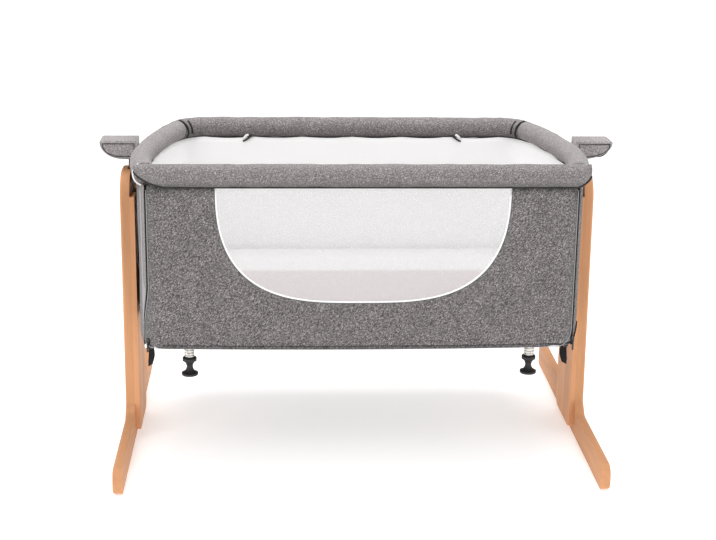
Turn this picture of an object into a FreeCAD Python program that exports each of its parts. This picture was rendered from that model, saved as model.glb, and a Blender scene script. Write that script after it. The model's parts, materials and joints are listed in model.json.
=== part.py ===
import FreeCAD, Part
import math
import os

# Bedside sleeper crib. Millimetres, +Z up. The origin is on the floor under the middle of
# the crib, +X runs along the long rails and -Y is the side that stands against the bed.
# "Reach" is a distance from the middle plane x = 0, so one number serves both ends.

V = FreeCAD.Vector

# ---- rails and basket outline -------------------------------------------------------
rail_height = 617.0         # centre line of the padded top rail above the floor
rail_depth_half = 251.0     # centre line of the front and back rails from the middle
end_middle_reach = 446.0    # centre line of the end rails where they reach furthest
end_bow_radius = 788.0      # the end rails bow outwards on this radius
end_bow_centre_depth = -56.0
rail_back_corner_radius = 62.0
rail_tube_radius = 11.0
rail_tube_wall = 1.5
rail_pad_radius = 24.0      # outside of the padded sleeve
sleeve_gap = 0.3            # between a tube and its padded sleeve

# ---- basket body ---------------------------------------------------------------------
cloth_offset = 10.0         # outside of the cloth wall beyond the rail centre line
cloth_thickness = 1.7
cloth_gap = 0.3             # cloth to whatever it lies against
cloth_front_corner_radius = 46.0
front_cloth_turn = 42.0     # degrees the front cloth goes round each corner to its zip
cloth_bottom_height = 266.5
mesh_gap = 0.1              # between the mesh and the cloth it is sewn to
mesh_thickness = 0.6
mesh_overlap = 9.0          # the mesh is sewn in this far behind the cloth
window_half_width = 294.0
window_drop = 233.0         # height of the window below the rail
window_side_power = 3.0
window_bottom_power = 2.6
window_points = 8           # points on each half of the window's edge
liner_offset = -16.5        # white inner lining, inside the rail centre line
liner_thickness = 1.5
liner_front_end_depth = -170.0

# ---- base frame ----------------------------------------------------------------------
base_tube_radius = 10.0
base_tube_wall = 1.5
cross_bar_reach = 350.0
board_thickness = 5.0
board_upright_gap = 1.0     # between the board's ends and the back uprights
board_side_inset = 7.0      # long edges of the board inside the rail centre line
board_corner_radius = 40.0
board_cloth_gap = 1.5
mattress_thickness = 52.2
mattress_offset = -23.0     # side of the mattress, inside the rail centre line
mattress_corner_radius = 42.0
mattress_crown = 5.0
mattress_side_draw = 3.0

# ---- uprights ------------------------------------------------------------------------
upright_radius = 9.5
upright_wall = 1.5
front_upright_inset = 51.0  # centre of the front uprights behind the front rail's
back_upright_depth = 135.0

# ---- posts and feet ------------------------------------------------------------------
post_outer_board = 20.0
post_back_cover = 12.5      # wood left behind the steel channel
post_inner_board = 10.0
post_width_foot = 160.0
post_width_top = 140.0
post_top_drop = 37.0        # top of the post below the rail's centre line
post_top_corner_radius = 58.0
post_edge_round = 5.0
inner_board_top_drop = 49.0 # top of the inner board below the post's top
inner_board_bottom_height = 14.0
inner_board_bottom_radius = 20.0
beam_half_length = 380.0
beam_height = 54.0
beam_hump_height = 78.0     # where the beam is let in under the outer board
beam_end_radius = 24.0
beam_edge_round = 5.0
pad_thickness = 3.0
pad_length = 70.0
pad_inset = 18.0

# ---- height adjuster -----------------------------------------------------------------
column_thickness = 8.0
column_width = 30.0
column_wall = 1.2
column_rail_gap = 26.5      # column outside the end rail's centre line
column_foot_drop = 4.5      # foot of the column below the cloth bottom
column_post_rise = 12.0     # top of the column above the post
height_step = 30.0
height_steps = 5
height_travel = height_step * height_steps
channel_wall = 1.5
channel_inner_width = 34.0
channel_back_gap = 1.0      # column to the channel's back wall
channel_top_gap = 6.0       # channel below the inner board's top
guide_top_inset = 5.0
guide_wing_width = 120.0
guide_wing_thickness = 3.0
guide_slot_clearance = 0.4
glide_pad_length = 30.0
glide_pad_clearance = 0.2
glide_pad_inset = 1.5
lower_glide_rise = 6.0
upper_glide_drop = 60.0     # upper pads below the inner board's top
stop_gap = 0.3

bracket_thickness = 3.0
bracket_rail_gap = 4.0      # upper bracket below the padded rail
bracket_leg = 34.0
bracket_bolt_radius = 3.6
bracket_bolt_head = 2.2
bracket_bolt_spread = 14.0
lower_bolt_rise = 12.0
upper_bolt_drop = 22.0

# ---- lock and release handle ---------------------------------------------------------
lock_pin_radius = 4.0
lock_pin_rise = 12.5        # pin above the housing's foot
lock_pin_tail = 19.5        # end of the pin inside the column's inner face
lock_pin_tip_gap = 0.3
lock_pin_travel = 5.0
pin_hole_clearance = 0.1
cross_pin_radius = 1.5
cross_pin_inset = 9.5       # cross pin inside the column's inner face
cross_pin_length = 14.0
housing_depth = 27.5
housing_width = 26.0
housing_wall = 2.0
housing_height = 70.0
handle_travel = 8.0
rod_width = 16.0
rod_thickness = 3.6
cam_plate_thickness = 2.5
cam_plate_gap = 9.0         # between the two cam plates, either side of the pin
cam_plate_length = 14.0
cam_plate_height = 28.0
cam_slot_clearance = 0.15
spring_radius = 3.6
spring_wire_radius = 0.5
spring_turns = 5.0
handle_length = 65.5        # from the column's inner face to the tip
handle_column_gap = 10.5
handle_height = 40.0
handle_width = 62.0
handle_cover_thickness = 5.0
handle_tip_round = 9.0
handle_rail_gap = 1.2

# ---- drop side -----------------------------------------------------------------------
front_rail_overhang = 25.5  # front rail past the end rails' centre line
front_rail_taper = 42.0     # length over which its ends draw in, up and back
front_rail_end_radius = 5.0
front_tube_end_inset = 34.0
side_cover_front_gap = 0.8  # between the end sleeves and the front rail's sleeve
carriage_radius = 13.5
carriage_cloth_gap = 1.4
carriage_drop = 93.0        # foot of the collar below the rail's centre line
carriage_length = 60.0
carriage_bore_clearance = 0.05
arm_drop = 55.0
arm_thickness = 18.0
spigot_radius = 7.0
spigot_inset = 47.0         # centre of the spigot inside the front rail's end
plunger_drop = 47.0
plunger_radius = 3.0
plunger_knob_radius = 8.0
plunger_knob_length = 8.0
plunger_travel = 6.0
plunger_boss_length = 8.5
plunger_clearance = 0.05

# ---- small parts ---------------------------------------------------------------------
zip_width = 6.0
zip_thickness = 1.2
zip_seam_gap = 0.1
zip_top_gap = 6.0
zip_slider_rise = 4.0
zip_slider_length = 14.0
zip_slider_thickness = 4.0
foot_reach = 350.0
foot_depth = 195.0
foot_drop = 79.5            # foot of the rubbers below the cloth bottom
foot_rubber_height = 39.0
foot_base_radius = 17.0
foot_waist_radius = 6.5
foot_top_radius = 14.5
stud_radius = 10.5
stud_neck_radius = 5.0
strap_width = 25.0
strap_thickness = 2.0
strap_depth = -150.0
strap_inset = 7.9           # middle of the webbing inside the base tube's centre line
strap_drop = 40.5           # end of the webbing below the cloth bottom
buckle_length = 24.0
buckle_width = 38.0
buckle_thickness = 8.0
hook_reach = 230.0
hook_width = 8.0
hook_thickness = 3.0
hook_length = 17.0
bolt_radius = 4.0
bolt_head_radius = 7.0
bolt_head_length = 4.0
bolt_clearance = 0.1
screw_radius = 2.0
screw_head_radius = 4.0
screw_head_sink = 0.2

# ---- worked out from the above -------------------------------------------------------
end_bow_centre_reach = end_middle_reach - math.sqrt(end_bow_radius ** 2
                                                    - end_bow_centre_depth ** 2)
column_inner_reach = end_middle_reach + column_rail_gap
column_outer_reach = column_inner_reach + column_thickness
column_middle_reach = column_inner_reach + column_thickness / 2
channel_face_reach = column_outer_reach + channel_back_gap
channel_back_reach = channel_face_reach + channel_wall
post_outer_reach = channel_back_reach + post_back_cover
beam_inner_reach = post_outer_reach - post_outer_board
post_inner_reach = beam_inner_reach - post_inner_board
post_top_height = rail_height - post_top_drop
inner_board_top_height = post_top_height - inner_board_top_drop
column_top_height = post_top_height + column_post_rise
column_bottom_height = cloth_bottom_height - column_foot_drop
channel_bottom_height = column_bottom_height - stop_gap - 2 * channel_wall
channel_top_height = inner_board_top_height - channel_top_gap
groove_half_width = channel_inner_width / 2 + channel_wall
base_height = cloth_bottom_height + cloth_thickness + cloth_gap + base_tube_radius
base_offset = cloth_offset - cloth_thickness - cloth_gap - base_tube_radius
board_bottom_height = base_height + base_tube_radius
mattress_bottom_height = board_bottom_height + board_thickness + cloth_gap
mattress_top_height = mattress_bottom_height + mattress_thickness
board_half_depth = rail_depth_half - board_side_inset
cloth_top_height = rail_height - rail_pad_radius - cloth_gap
liner_top_height = (rail_height - cloth_gap
                    - math.sqrt(rail_pad_radius ** 2 - liner_offset ** 2))
front_upright_depth = front_upright_inset - rail_depth_half
carriage_bottom_height = rail_height - carriage_drop
arm_bottom_height = rail_height - arm_drop
plunger_height = rail_height - plunger_drop
foot_base_height = cloth_bottom_height - foot_drop
strap_end_height = cloth_bottom_height - strap_drop
front_face_depth = -(rail_depth_half + cloth_offset)
bracket_width = housing_width
housing_bottom_height = board_bottom_height + bracket_thickness
housing_top_height = housing_bottom_height + housing_height
housing_inner_reach = column_inner_reach - housing_depth
lock_pin_height = housing_bottom_height + lock_pin_rise
lock_pin_tail_reach = column_inner_reach - lock_pin_tail
cross_pin_reach = column_inner_reach - cross_pin_inset
handle_tip_reach = column_inner_reach + handle_length
handle_bottom_height = column_top_height + handle_column_gap
handle_top_height = handle_bottom_height + handle_height

os.makedirs("parts", exist_ok=True)


# ---- helpers -------------------------------------------------------------------------
def block(x0, x1, y0, y1, z0, z1):
    """Axis-aligned block between two corners given in any order."""
    return Part.makeBox(abs(x1 - x0), abs(y1 - y0), abs(z1 - z0),
                        V(min(x0, x1), min(y0, y1), min(z0, z1)))


def rod(radius, start, end):
    """Round bar from one point to another."""
    run = end - start
    return Part.makeCylinder(radius, run.Length, start, run)


def pipe(outer, wall, start, end):
    """Straight tube from one point to another."""
    return rod(outer, start, end).cut(rod(outer - wall, start, end))


def both(shape):
    """The shape and its mirror image at the other end, as separate solids."""
    return Part.makeCompound(solids_of(shape) + solids_of(mirrored(shape)))


def mirrored(shape):
    return shape.mirror(V(0, 0, 0), V(1, 0, 0))


def solids_of(shape):
    return list(shape.Solids)


def save(name, shape):
    """Write one node, whole or as a group of separate solids."""
    solids = solids_of(shape)
    if not solids:
        raise RuntimeError(name + " has no solid")
    for solid in solids:
        if not solid.isValid():
            raise RuntimeError(name + " is not valid")
    result = solids[0] if len(solids) == 1 else Part.makeCompound(solids)
    result.exportStep("parts/" + name + ".step")
    print("%-24s %2d solid(s) %10.0f mm3" % (name, len(solids), result.Volume))


def save_pair(name, shape):
    """The piece as built at +X is the right one; its mirror image is the left one."""
    save("right_" + name, shape)
    save("left_" + name, mirrored(shape))


def arc(a, b, c):
    return Part.Arc(a, b, c).toShape()


def line(a, b):
    return Part.LineSegment(a, b).toShape()


def slab(points, radii, plane, low, high):
    """Closed outline with rounded corners, extruded. plane is 'yz', 'xz' or 'xy'."""
    place = {"yz": lambda a, b: V(low, a, b),
             "xz": lambda a, b: V(a, low, b),
             "xy": lambda a, b: V(a, b, low)}[plane]
    run = {"yz": V(high - low, 0, 0), "xz": V(0, high - low, 0), "xy": V(0, 0, high - low)}
    edges = rounded_edges([place(a, b) for a, b in points], radii)
    return Part.Face(Part.Wire(edges)).extrude(run[plane])


def rounded_edges(corners, radii):
    """Edges of a closed outline whose corners are rounded by the given radii."""
    count = len(corners)
    cuts = []
    for i in range(count):
        here, before, after = corners[i], corners[i - 1], corners[(i + 1) % count]
        back, ahead = (before - here).normalize(), (after - here).normalize()
        if not radii[i]:
            cuts.append((here, None, here))
            continue
        half = back.getAngle(ahead) / 2
        setback = radii[i] / math.tan(half)
        inward = (back + ahead).normalize()
        middle = here + inward * (radii[i] / math.sin(half) - radii[i])
        cuts.append((here + back * setback, middle, here + ahead * setback))
    edges = []
    for i in range(count):
        start, middle, end = cuts[i]
        if middle is not None:
            edges.append(arc(start, middle, end))
        following = cuts[(i + 1) % count][0]
        if (following - end).Length > 1e-6:
            edges.append(line(end, following))
    return edges


def rounded_plate(half_length, half_depth, radius, low, high):
    corners = [(-half_length, -half_depth), (half_length, -half_depth),
               (half_length, half_depth), (-half_length, half_depth)]
    return slab(corners, [radius] * 4, "xy", low, high)


# ---- the basket's outline in plan ----------------------------------------------------
def bow_reach(depth, offset=0.0):
    """How far out the bowed end lies at a depth, for a line offset from the rail's."""
    rise = (end_bow_radius + offset) ** 2 - (depth - end_bow_centre_depth) ** 2
    return end_bow_centre_reach + math.sqrt(rise)


front_rail_end_reach = bow_reach(-rail_depth_half) + front_rail_overhang
front_tube_end_reach = front_rail_end_reach - front_tube_end_inset
spigot_reach = front_rail_end_reach - spigot_inset
collar_offset = cloth_offset - cloth_thickness - carriage_cloth_gap - carriage_radius
front_upright_reach = bow_reach(front_upright_depth, collar_offset)
back_upright_offset = cloth_offset - cloth_thickness - cloth_gap - upright_radius
back_upright_reach = bow_reach(back_upright_depth, back_upright_offset)
board_half_length = back_upright_reach - upright_radius - board_upright_gap
strap_reach = bow_reach(strap_depth, base_offset) - strap_inset


def corner_circle(side, offset, radius):
    """Centre of the corner that joins the bowed end to the front (-1) or back (+1)."""
    depth = side * (rail_depth_half + offset - radius)
    span = (end_bow_radius + offset - radius) ** 2 - (depth - end_bow_centre_depth) ** 2
    return V(end_bow_centre_reach + math.sqrt(span), depth, 0)


def corner_points(side, offset, radius):
    """Corner arc: where it leaves the straight side, its middle, where it meets the bow."""
    centre = corner_circle(side, offset, radius)
    bow_centre = V(end_bow_centre_reach, end_bow_centre_depth, 0)
    straight = centre + V(0, side * radius, 0)
    outward = (centre - bow_centre).normalize()
    bowed = centre + outward * radius
    middle = centre + (V(0, side, 0) + outward).normalize() * radius
    return straight, middle, bowed


def corner_point(offset, radius, turn):
    """Point on the front corner's arc, some degrees round from the front straight."""
    angle = math.radians(turn - 90)
    return corner_circle(-1, offset, radius) + V(math.cos(angle), math.sin(angle), 0) * radius


def corner_sweep(offset, radius):
    """Degrees from the front straight to the bowed end."""
    straight, middle, bowed = corner_points(-1, offset, radius)
    centre = corner_circle(-1, offset, radius)
    return math.degrees((straight - centre).getAngle(bowed - centre))


def corner_arc(offset, radius, start, end):
    middle = (start + end) / 2
    return arc(*[corner_point(offset, radius, turn) for turn in (start, middle, end)])


def end_path(offset, height, front_radius=None, front_depth=None, back_radius=None):
    """Open plan line round one end, from the front to the back straight."""
    if back_radius is None:
        back_radius = rail_back_corner_radius + offset
    back_straight, back_middle, back_bowed = corner_points(1, offset, back_radius)
    edges = []
    if front_radius:
        straight, middle, start = corner_points(-1, offset, front_radius)
        edges.append(arc(straight, middle, start))
    else:
        start = V(bow_reach(front_depth, offset), front_depth, 0)
    halfway = (start.y + back_bowed.y) / 2
    edges.append(arc(start, V(bow_reach(halfway, offset), halfway, 0), back_bowed))
    edges.append(arc(back_bowed, back_middle, back_straight))
    path = Part.Wire(edges)
    path.translate(V(0, 0, height))
    return path


def plan_outline(offset, height, **corners):
    """Closed plan line of the whole basket."""
    right = end_path(offset, height, **corners)
    left = mirrored(right)
    front = line(left.OrderedVertexes[0].Point, right.OrderedVertexes[0].Point)
    back = line(left.OrderedVertexes[-1].Point, right.OrderedVertexes[-1].Point)
    return Part.Wire(Part.__sortEdges__([front, back] + right.Edges + left.Edges))


def swept(path, radius):
    """Round section swept along a path, started square to it."""
    start = path.Edges[0].valueAt(path.Edges[0].FirstParameter)
    along = path.Edges[0].tangentAt(path.Edges[0].FirstParameter)
    ring = Part.Wire(Part.makeCircle(radius, start, along))
    return path.makePipeShell([ring], True, False)


def band(offset, thickness, low, high, **ends):
    """Upright strip of cloth that follows the plan line; offset is its outer face."""
    outer = end_path(offset, low, **ends)
    shrink = {}
    if ends.get("front_radius"):
        shrink["front_radius"] = ends["front_radius"] - thickness
    if ends.get("front_depth"):
        shrink["front_depth"] = ends["front_depth"]
    inner = end_path(offset - thickness, low, **shrink)
    first_out, first_in = outer.OrderedVertexes[0].Point, inner.OrderedVertexes[0].Point
    last_out, last_in = outer.OrderedVertexes[-1].Point, inner.OrderedVertexes[-1].Point
    edges = outer.Edges + [line(last_out, last_in)] + inner.Edges + [line(first_in, first_out)]
    outline = Part.Wire(Part.__sortEdges__(edges))
    return Part.Face(outline).extrude(V(0, 0, high - low))


# ---- posts ---------------------------------------------------------------------------
def post_edge(height):
    """Half the post's width at a height; it narrows a little towards the top."""
    share = height / post_top_height
    return (post_width_foot + (post_width_top - post_width_foot) * share) / 2


def long_edges(shape, test):
    return [edge for edge in shape.Edges if test(edge)]


def outer_board():
    foot, top = beam_hump_height, post_top_height
    points = [(-post_edge(foot), foot), (post_edge(foot), foot),
              (post_edge(top), top), (-post_edge(top), top)]
    radii = [0, 0, post_top_corner_radius, post_top_corner_radius]
    board = slab(points, radii, "yz", beam_inner_reach, post_outer_reach)
    outside = long_edges(board, lambda e: e.BoundBox.XMin > post_outer_reach - 0.01
                         and e.BoundBox.ZMax > foot + 1)
    board = board.makeFillet(post_edge_round, outside)
    groove = block(beam_inner_reach - 1, channel_back_reach,
                   -groove_half_width, groove_half_width, channel_bottom_height, top + 1)
    board = board.cut(groove)
    for height in pin_hole_heights():
        board = board.cut(rod(lock_pin_radius + 1, V(channel_back_reach - 1, 0, height),
                              V(channel_back_reach + 4, 0, height)))
    for height in channel_screw_heights():
        board = board.cut(rod(screw_radius, V(channel_back_reach - 1, 0, height),
                              V(channel_back_reach + 8, 0, height)))
    return board


def inner_board():
    foot, top = inner_board_bottom_height, inner_board_top_height
    points = [(-post_edge(foot), foot), (post_edge(foot), foot),
              (post_edge(top), top), (-post_edge(top), top)]
    radii = [inner_board_bottom_radius, inner_board_bottom_radius, 0, 0]
    board = slab(points, radii, "yz", post_inner_reach, beam_inner_reach)
    slot = block(post_inner_reach - 1, beam_inner_reach + 1,
                 -groove_half_width, groove_half_width, channel_bottom_height, top + 1)
    board = board.cut(slot)
    for depth in beam_bolt_depths():
        board = board.cut(rod(bolt_radius, V(post_inner_reach + 3, depth, beam_height / 2),
                              V(beam_inner_reach + 1, depth, beam_height / 2)))
    return board


def pin_hole_heights():
    return [lock_pin_height + height_step * (i + 1) for i in range(height_steps)]


def channel_screw_heights():
    return [channel_bottom_height + 22, channel_top_height - 18]


def beam_bolt_depths():
    return [-post_width_foot / 4, post_width_foot / 4]


def foot_beam():
    """Foot beam along Y: flat underneath, humped where the post stands on it."""
    half, top, hump = beam_half_length, beam_height, beam_hump_height
    shoulder = post_edge(hump)
    step = hump - top
    points = [(-half, pad_thickness), (half, pad_thickness), (half, top),
              (shoulder + step, top), (shoulder, hump), (-shoulder, hump),
              (-shoulder - step, top), (-half, top)]
    radii = [8, 8, beam_end_radius, step * 0.8, 0, 0, step * 0.8, beam_end_radius]
    beam = slab(points, radii, "yz", beam_inner_reach, post_outer_reach)
    outside = long_edges(beam, lambda e: e.BoundBox.XMin > post_outer_reach - 0.01
                         and abs(e.BoundBox.ZMin - hump) > 0.5)
    beam = beam.makeFillet(beam_edge_round, outside)
    for depth in beam_bolt_depths():
        beam = beam.cut(bolt(depth, bolt_clearance))
    return beam


def bolt(depth, grow=0.0):
    """Furniture bolt through the beam, its head sunk level with the outer face."""
    height = beam_height / 2
    head = rod(bolt_head_radius + grow, V(post_outer_reach - bolt_head_length, depth, height),
               V(post_outer_reach - (0.0 if grow else 0.5), depth, height))
    inner_end = post_inner_reach + 3 + (0.0 if grow else 0.5)
    shank = rod(bolt_radius + (grow if grow else -bolt_clearance),
                V(inner_end, depth, height), V(post_outer_reach - 1, depth, height))
    socket = rod(2.8, V(post_outer_reach - bolt_head_length + 1, depth, height),
                 V(post_outer_reach, depth, height))
    shape = head.fuse(shank)
    return shape if grow else shape.cut(socket)


def post_fasteners():
    pieces = [bolt(depth) for depth in beam_bolt_depths()]
    pieces += [channel_screw(height) for height in channel_screw_heights()]
    return Part.makeCompound(pieces)


def channel_screw(height):
    """Countersunk screw, its head a little below the channel's face."""
    start = V(channel_face_reach + screw_head_sink, 0, height)
    taper = (screw_head_radius - screw_radius) / channel_wall
    shank = rod(screw_radius - bolt_clearance, start, V(channel_back_reach + 7.5, 0, height))
    head = Part.makeCone(screw_head_radius - taper * screw_head_sink - bolt_clearance,
                         screw_radius - bolt_clearance, channel_wall - screw_head_sink,
                         start, V(1, 0, 0))
    return shank.fuse(head)


def floor_pads():
    pads = []
    for side in (-1, 1):
        far = side * (beam_half_length - pad_inset)
        near = side * (beam_half_length - pad_inset - pad_length)
        pads.append(block(beam_inner_reach + 3, post_outer_reach - 5, near, far,
                          0, pad_thickness))
    return Part.makeCompound(pads)


def guide_channel():
    """Folded steel channel let into the post, with a closed foot as the lowest stop."""
    outside = block(post_inner_reach + 0.5, channel_back_reach, -groove_half_width,
                    groove_half_width, channel_bottom_height, channel_top_height)
    inside = block(post_inner_reach - 1, channel_face_reach, -channel_inner_width / 2,
                   channel_inner_width / 2, column_bottom_height - stop_gap,
                   channel_top_height + 1)
    channel = outside.cut(inside)
    for height in pin_hole_heights():
        channel = channel.cut(rod(lock_pin_radius + pin_hole_clearance * 3,
                                  V(channel_face_reach - 1, 0, height),
                                  V(channel_back_reach + 1, 0, height)))
    for height in channel_screw_heights():
        sink = Part.makeCone(screw_head_radius, screw_radius, channel_wall,
                             V(channel_face_reach, 0, height), V(1, 0, 0))
        channel = channel.cut(sink)
    return channel


def top_guide():
    """Moulded guide at the mouth of the groove: a channel with a wing on each side."""
    low = inner_board_top_height + 2
    high = post_top_height - guide_top_inset
    slot = glide_face() + guide_slot_clearance
    body = block(beam_inner_reach - guide_wing_thickness, channel_back_reach,
                 -groove_half_width, groove_half_width, low, high)
    wing_low, wing_high = low, high - 16
    wings = slab([(-guide_wing_width / 2, wing_low), (guide_wing_width / 2, wing_low),
                  (guide_wing_width / 2, wing_high), (-guide_wing_width / 2, wing_high)],
                 [4, 4, 14, 14], "yz", beam_inner_reach - guide_wing_thickness,
                 beam_inner_reach)
    inside = block(beam_inner_reach - guide_wing_thickness - 1, channel_face_reach,
                   -slot, slot, low - 1, high + 1)
    return body.fuse(wings).cut(inside)


def glide_face():
    """Half the width over the column's glide pads."""
    return channel_inner_width / 2 - glide_pad_clearance


# ---- height adjuster on the basket ---------------------------------------------------
def column_section(inset, low, high):
    half = column_width / 2 - inset
    near, far = column_inner_reach + inset, column_outer_reach - inset
    radius = max(2.5 - inset, 0.6)
    return slab([(near, -half), (far, -half), (far, half), (near, half)],
                [radius] * 4, "xy", low, high)


def lift_column():
    """Flat steel tube that runs in the post; open for the pin and for the cam tab."""
    column = column_section(0, column_bottom_height, column_top_height)
    column = column.cut(column_section(column_wall, column_bottom_height - 1,
                                       column_top_height + 1))
    pin_way = rod(lock_pin_radius + pin_hole_clearance,
                  V(column_inner_reach - 1, 0, lock_pin_height),
                  V(column_outer_reach + 1, 0, lock_pin_height))
    tab_low, tab_high = cam_tab_heights()
    cam_slot = block(column_inner_reach - 1, column_inner_reach + column_wall + 0.5,
                     -rod_width / 2 - 0.5, rod_width / 2 + 0.5,
                     tab_low - 0.5, tab_high + handle_travel + 0.5)
    return column.cut(pin_way).cut(cam_slot)


def cam_tab_heights():
    """The tab that joins the rod to the cam plates, above the pin."""
    low = lock_pin_height + lock_pin_radius + 5
    return low, low + 12


def glide_pads():
    """Nylon pads on the column's narrow sides, near its foot and higher up."""
    pads = []
    reach = (column_inner_reach + glide_pad_inset, column_outer_reach - glide_pad_inset)
    for low in (column_bottom_height + lower_glide_rise,
                inner_board_top_height - upper_glide_drop):
        for side in (-1, 1):
            near, far = side * column_width / 2, side * glide_face()
            pads.append(block(reach[0], reach[1], near, far, low, low + glide_pad_length))
    return Part.makeCompound(pads)


def lower_bracket():
    """Angle that carries the base tube's middle and the lock on the column."""
    half = bracket_width / 2
    leg = block(column_inner_reach - bracket_thickness, column_inner_reach, -half, half,
                column_bottom_height, housing_bottom_height)
    seat = bow_reach(0, base_offset) - base_tube_radius / 2
    shelf = block(seat, column_inner_reach, -half, half, board_bottom_height,
                  housing_bottom_height)
    return leg.fuse(shelf).removeSplitter()


def upper_bracket_top():
    return rail_height - rail_pad_radius - bracket_rail_gap


def upper_bracket():
    """Angle from the column to a saddle under the end rail's tube."""
    half = bracket_width / 2
    shelf_top = upper_bracket_top()
    leg = block(column_inner_reach - bracket_thickness, column_inner_reach, -half, half,
                shelf_top - bracket_leg, shelf_top)
    middle = bow_reach(0)
    shelf = block(middle - 8, column_inner_reach, -half, half,
                  shelf_top - bracket_thickness, shelf_top)
    stub = upper_bracket_stub(0)
    bracket = leg.fuse([shelf, stub]).cut(swept(side_rail_path(), rail_tube_radius))
    return bracket.removeSplitter()


def upper_bracket_stub(grow):
    middle = bow_reach(0)
    half = bracket_width / 2 + grow
    return block(middle - 3 - grow, middle + 3 + grow, -half, half,
                 upper_bracket_top() - bracket_thickness, rail_height)


def bracket_bolts():
    """Button-headed bolts through the brackets into the column."""
    bolts = []
    face = column_inner_reach - bracket_thickness
    for height in (column_bottom_height + lower_bolt_rise,
                   upper_bracket_top() - upper_bolt_drop):
        for depth in (-bracket_bolt_spread / 2, bracket_bolt_spread / 2):
            bolts.append(rod(bracket_bolt_radius, V(face - bracket_bolt_head, depth, height),
                             V(face, depth, height)))
    return Part.makeCompound(bolts)


def lock_housing():
    """Closed box round the lock: the pin slides through both of its ends."""
    half = housing_width / 2
    outside = block(housing_inner_reach, column_inner_reach, -half, half,
                    housing_bottom_height, housing_top_height)
    inside = block(housing_inner_reach + housing_wall, column_inner_reach + 1,
                   -half + housing_wall, half - housing_wall,
                   housing_bottom_height + housing_wall, housing_top_height - housing_wall)
    housing = outside.cut(inside)
    edges = long_edges(housing, lambda e: e.BoundBox.XMax < housing_inner_reach + 0.01
                       and e.BoundBox.YLength + e.BoundBox.ZLength > 20)
    return housing.makeFillet(1.5, edges)


def spring_seat_heights():
    """Return spring between the top of the cam plates and the housing's roof."""
    return cam_plate_top() + 0.2, housing_top_height - housing_wall - 0.2


def cam_plate_top():
    return cam_tab_heights()[1]


def release_spring():
    """Open coil of round wire, wound in half turns."""
    low, high = spring_seat_heights()
    low += spring_wire_radius
    pitch = (high - spring_wire_radius - low) / spring_turns
    middle = cross_pin_reach - 1

    def on_coil(quarter):
        turn = quarter * math.pi / 2
        return V(middle + spring_radius * math.cos(turn), spring_radius * math.sin(turn),
                 low + pitch * quarter / 4)

    halves = [arc(on_coil(2 * i), on_coil(2 * i + 1), on_coil(2 * i + 2))
              for i in range(int(2 * spring_turns))]
    ring = Part.Wire(Part.makeCircle(spring_wire_radius, on_coil(0), halves[0].tangentAt(0)))
    return Part.Wire(halves).makePipeShell([ring], True, False)


# ---- release handle ------------------------------------------------------------------
def handle_profile(inset, width):
    """Half-moon seen from the front: flat on top, rounded underneath towards the tip."""
    inner = column_inner_reach + inset
    tip = handle_tip_reach - inset
    top = handle_top_height - inset
    bottom = handle_bottom_height + inset
    corner = max(handle_tip_round - inset, 1.0)
    depth = -width / 2
    swell = top - corner - bottom
    start = V(inner, depth, bottom)
    belly = V(tip - swell, depth, bottom)
    belly_middle = V(tip - swell * 0.2929, depth, bottom + swell * 0.2929)
    shoulder = V(tip, depth, top - corner)
    tip_middle = V(tip - corner * 0.2929, depth, top - corner * 0.2929)
    tip_end = V(tip - corner, depth, top)
    roof = V(inner, depth, top)
    edges = [line(start, belly), arc(belly, belly_middle, shoulder),
             arc(shoulder, tip_middle, tip_end), line(tip_end, roof), line(roof, start)]
    return Part.Face(Part.Wire(edges)).extrude(V(0, width, 0))


def handle_core():
    """Moulded core of the handle with the stem that stands on the rod."""
    core = handle_profile(handle_cover_thickness, handle_width - 2 * handle_cover_thickness)
    hollow = handle_profile(handle_cover_thickness + 3,
                            handle_width - 2 * handle_cover_thickness - 24)
    pocket = hollow.common(block(column_outer_reach + 6, handle_tip_reach,
                                 -handle_width, handle_width,
                                 handle_bottom_height - 1, handle_top_height - 16))
    stem = block(column_inner_reach + 0.5, column_outer_reach - 0.5,
                 -rod_width / 2 - 5, rod_width / 2 + 5,
                 column_top_height + 0.3, handle_bottom_height + handle_cover_thickness + 1)
    return core.cut(pocket).fuse(stem)


def handle_cover(core):
    """Padded fabric sleeve over the core, open where the stem comes out."""
    pad = handle_profile(0, handle_width)
    rims = long_edges(pad, lambda e: e.BoundBox.YLength < 0.01 and e.BoundBox.XLength > 1)
    pad = pad.makeFillet(handle_cover_thickness * 0.6, rims)
    inside = handle_profile(handle_cover_thickness - cloth_gap,
                            handle_width - 2 * handle_cover_thickness + 2 * cloth_gap)
    stem_way = block(column_inner_reach - 1, column_outer_reach + 1, -rod_width / 2 - 6,
                     rod_width / 2 + 6, handle_bottom_height - 1, handle_bottom_height + 20)
    return pad.cut(inside).cut(stem_way)


def release_rod():
    """Flat bar inside the column, with two cam plates that draw the pin back."""
    half = rod_width / 2
    low, high = cam_tab_heights()
    bar = block(column_middle_reach - rod_thickness / 2, column_middle_reach + rod_thickness / 2,
                -half, half, low, column_top_height + 0.3)
    plate_near = cross_pin_reach - cam_plate_length / 2 - 1
    plate_far = plate_near + cam_plate_length
    tab = block(plate_near, column_middle_reach, -half + 1, half - 1, high - 4, high)
    shape = bar.fuse(tab)
    inner = cam_plate_gap / 2
    for side in (-1, 1):
        plate = block(plate_near, plate_far, side * inner,
                      side * (inner + cam_plate_thickness), high - cam_plate_height, high)
        shape = shape.fuse(plate)
    return shape.cut(cam_slot_void()).removeSplitter()


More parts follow.
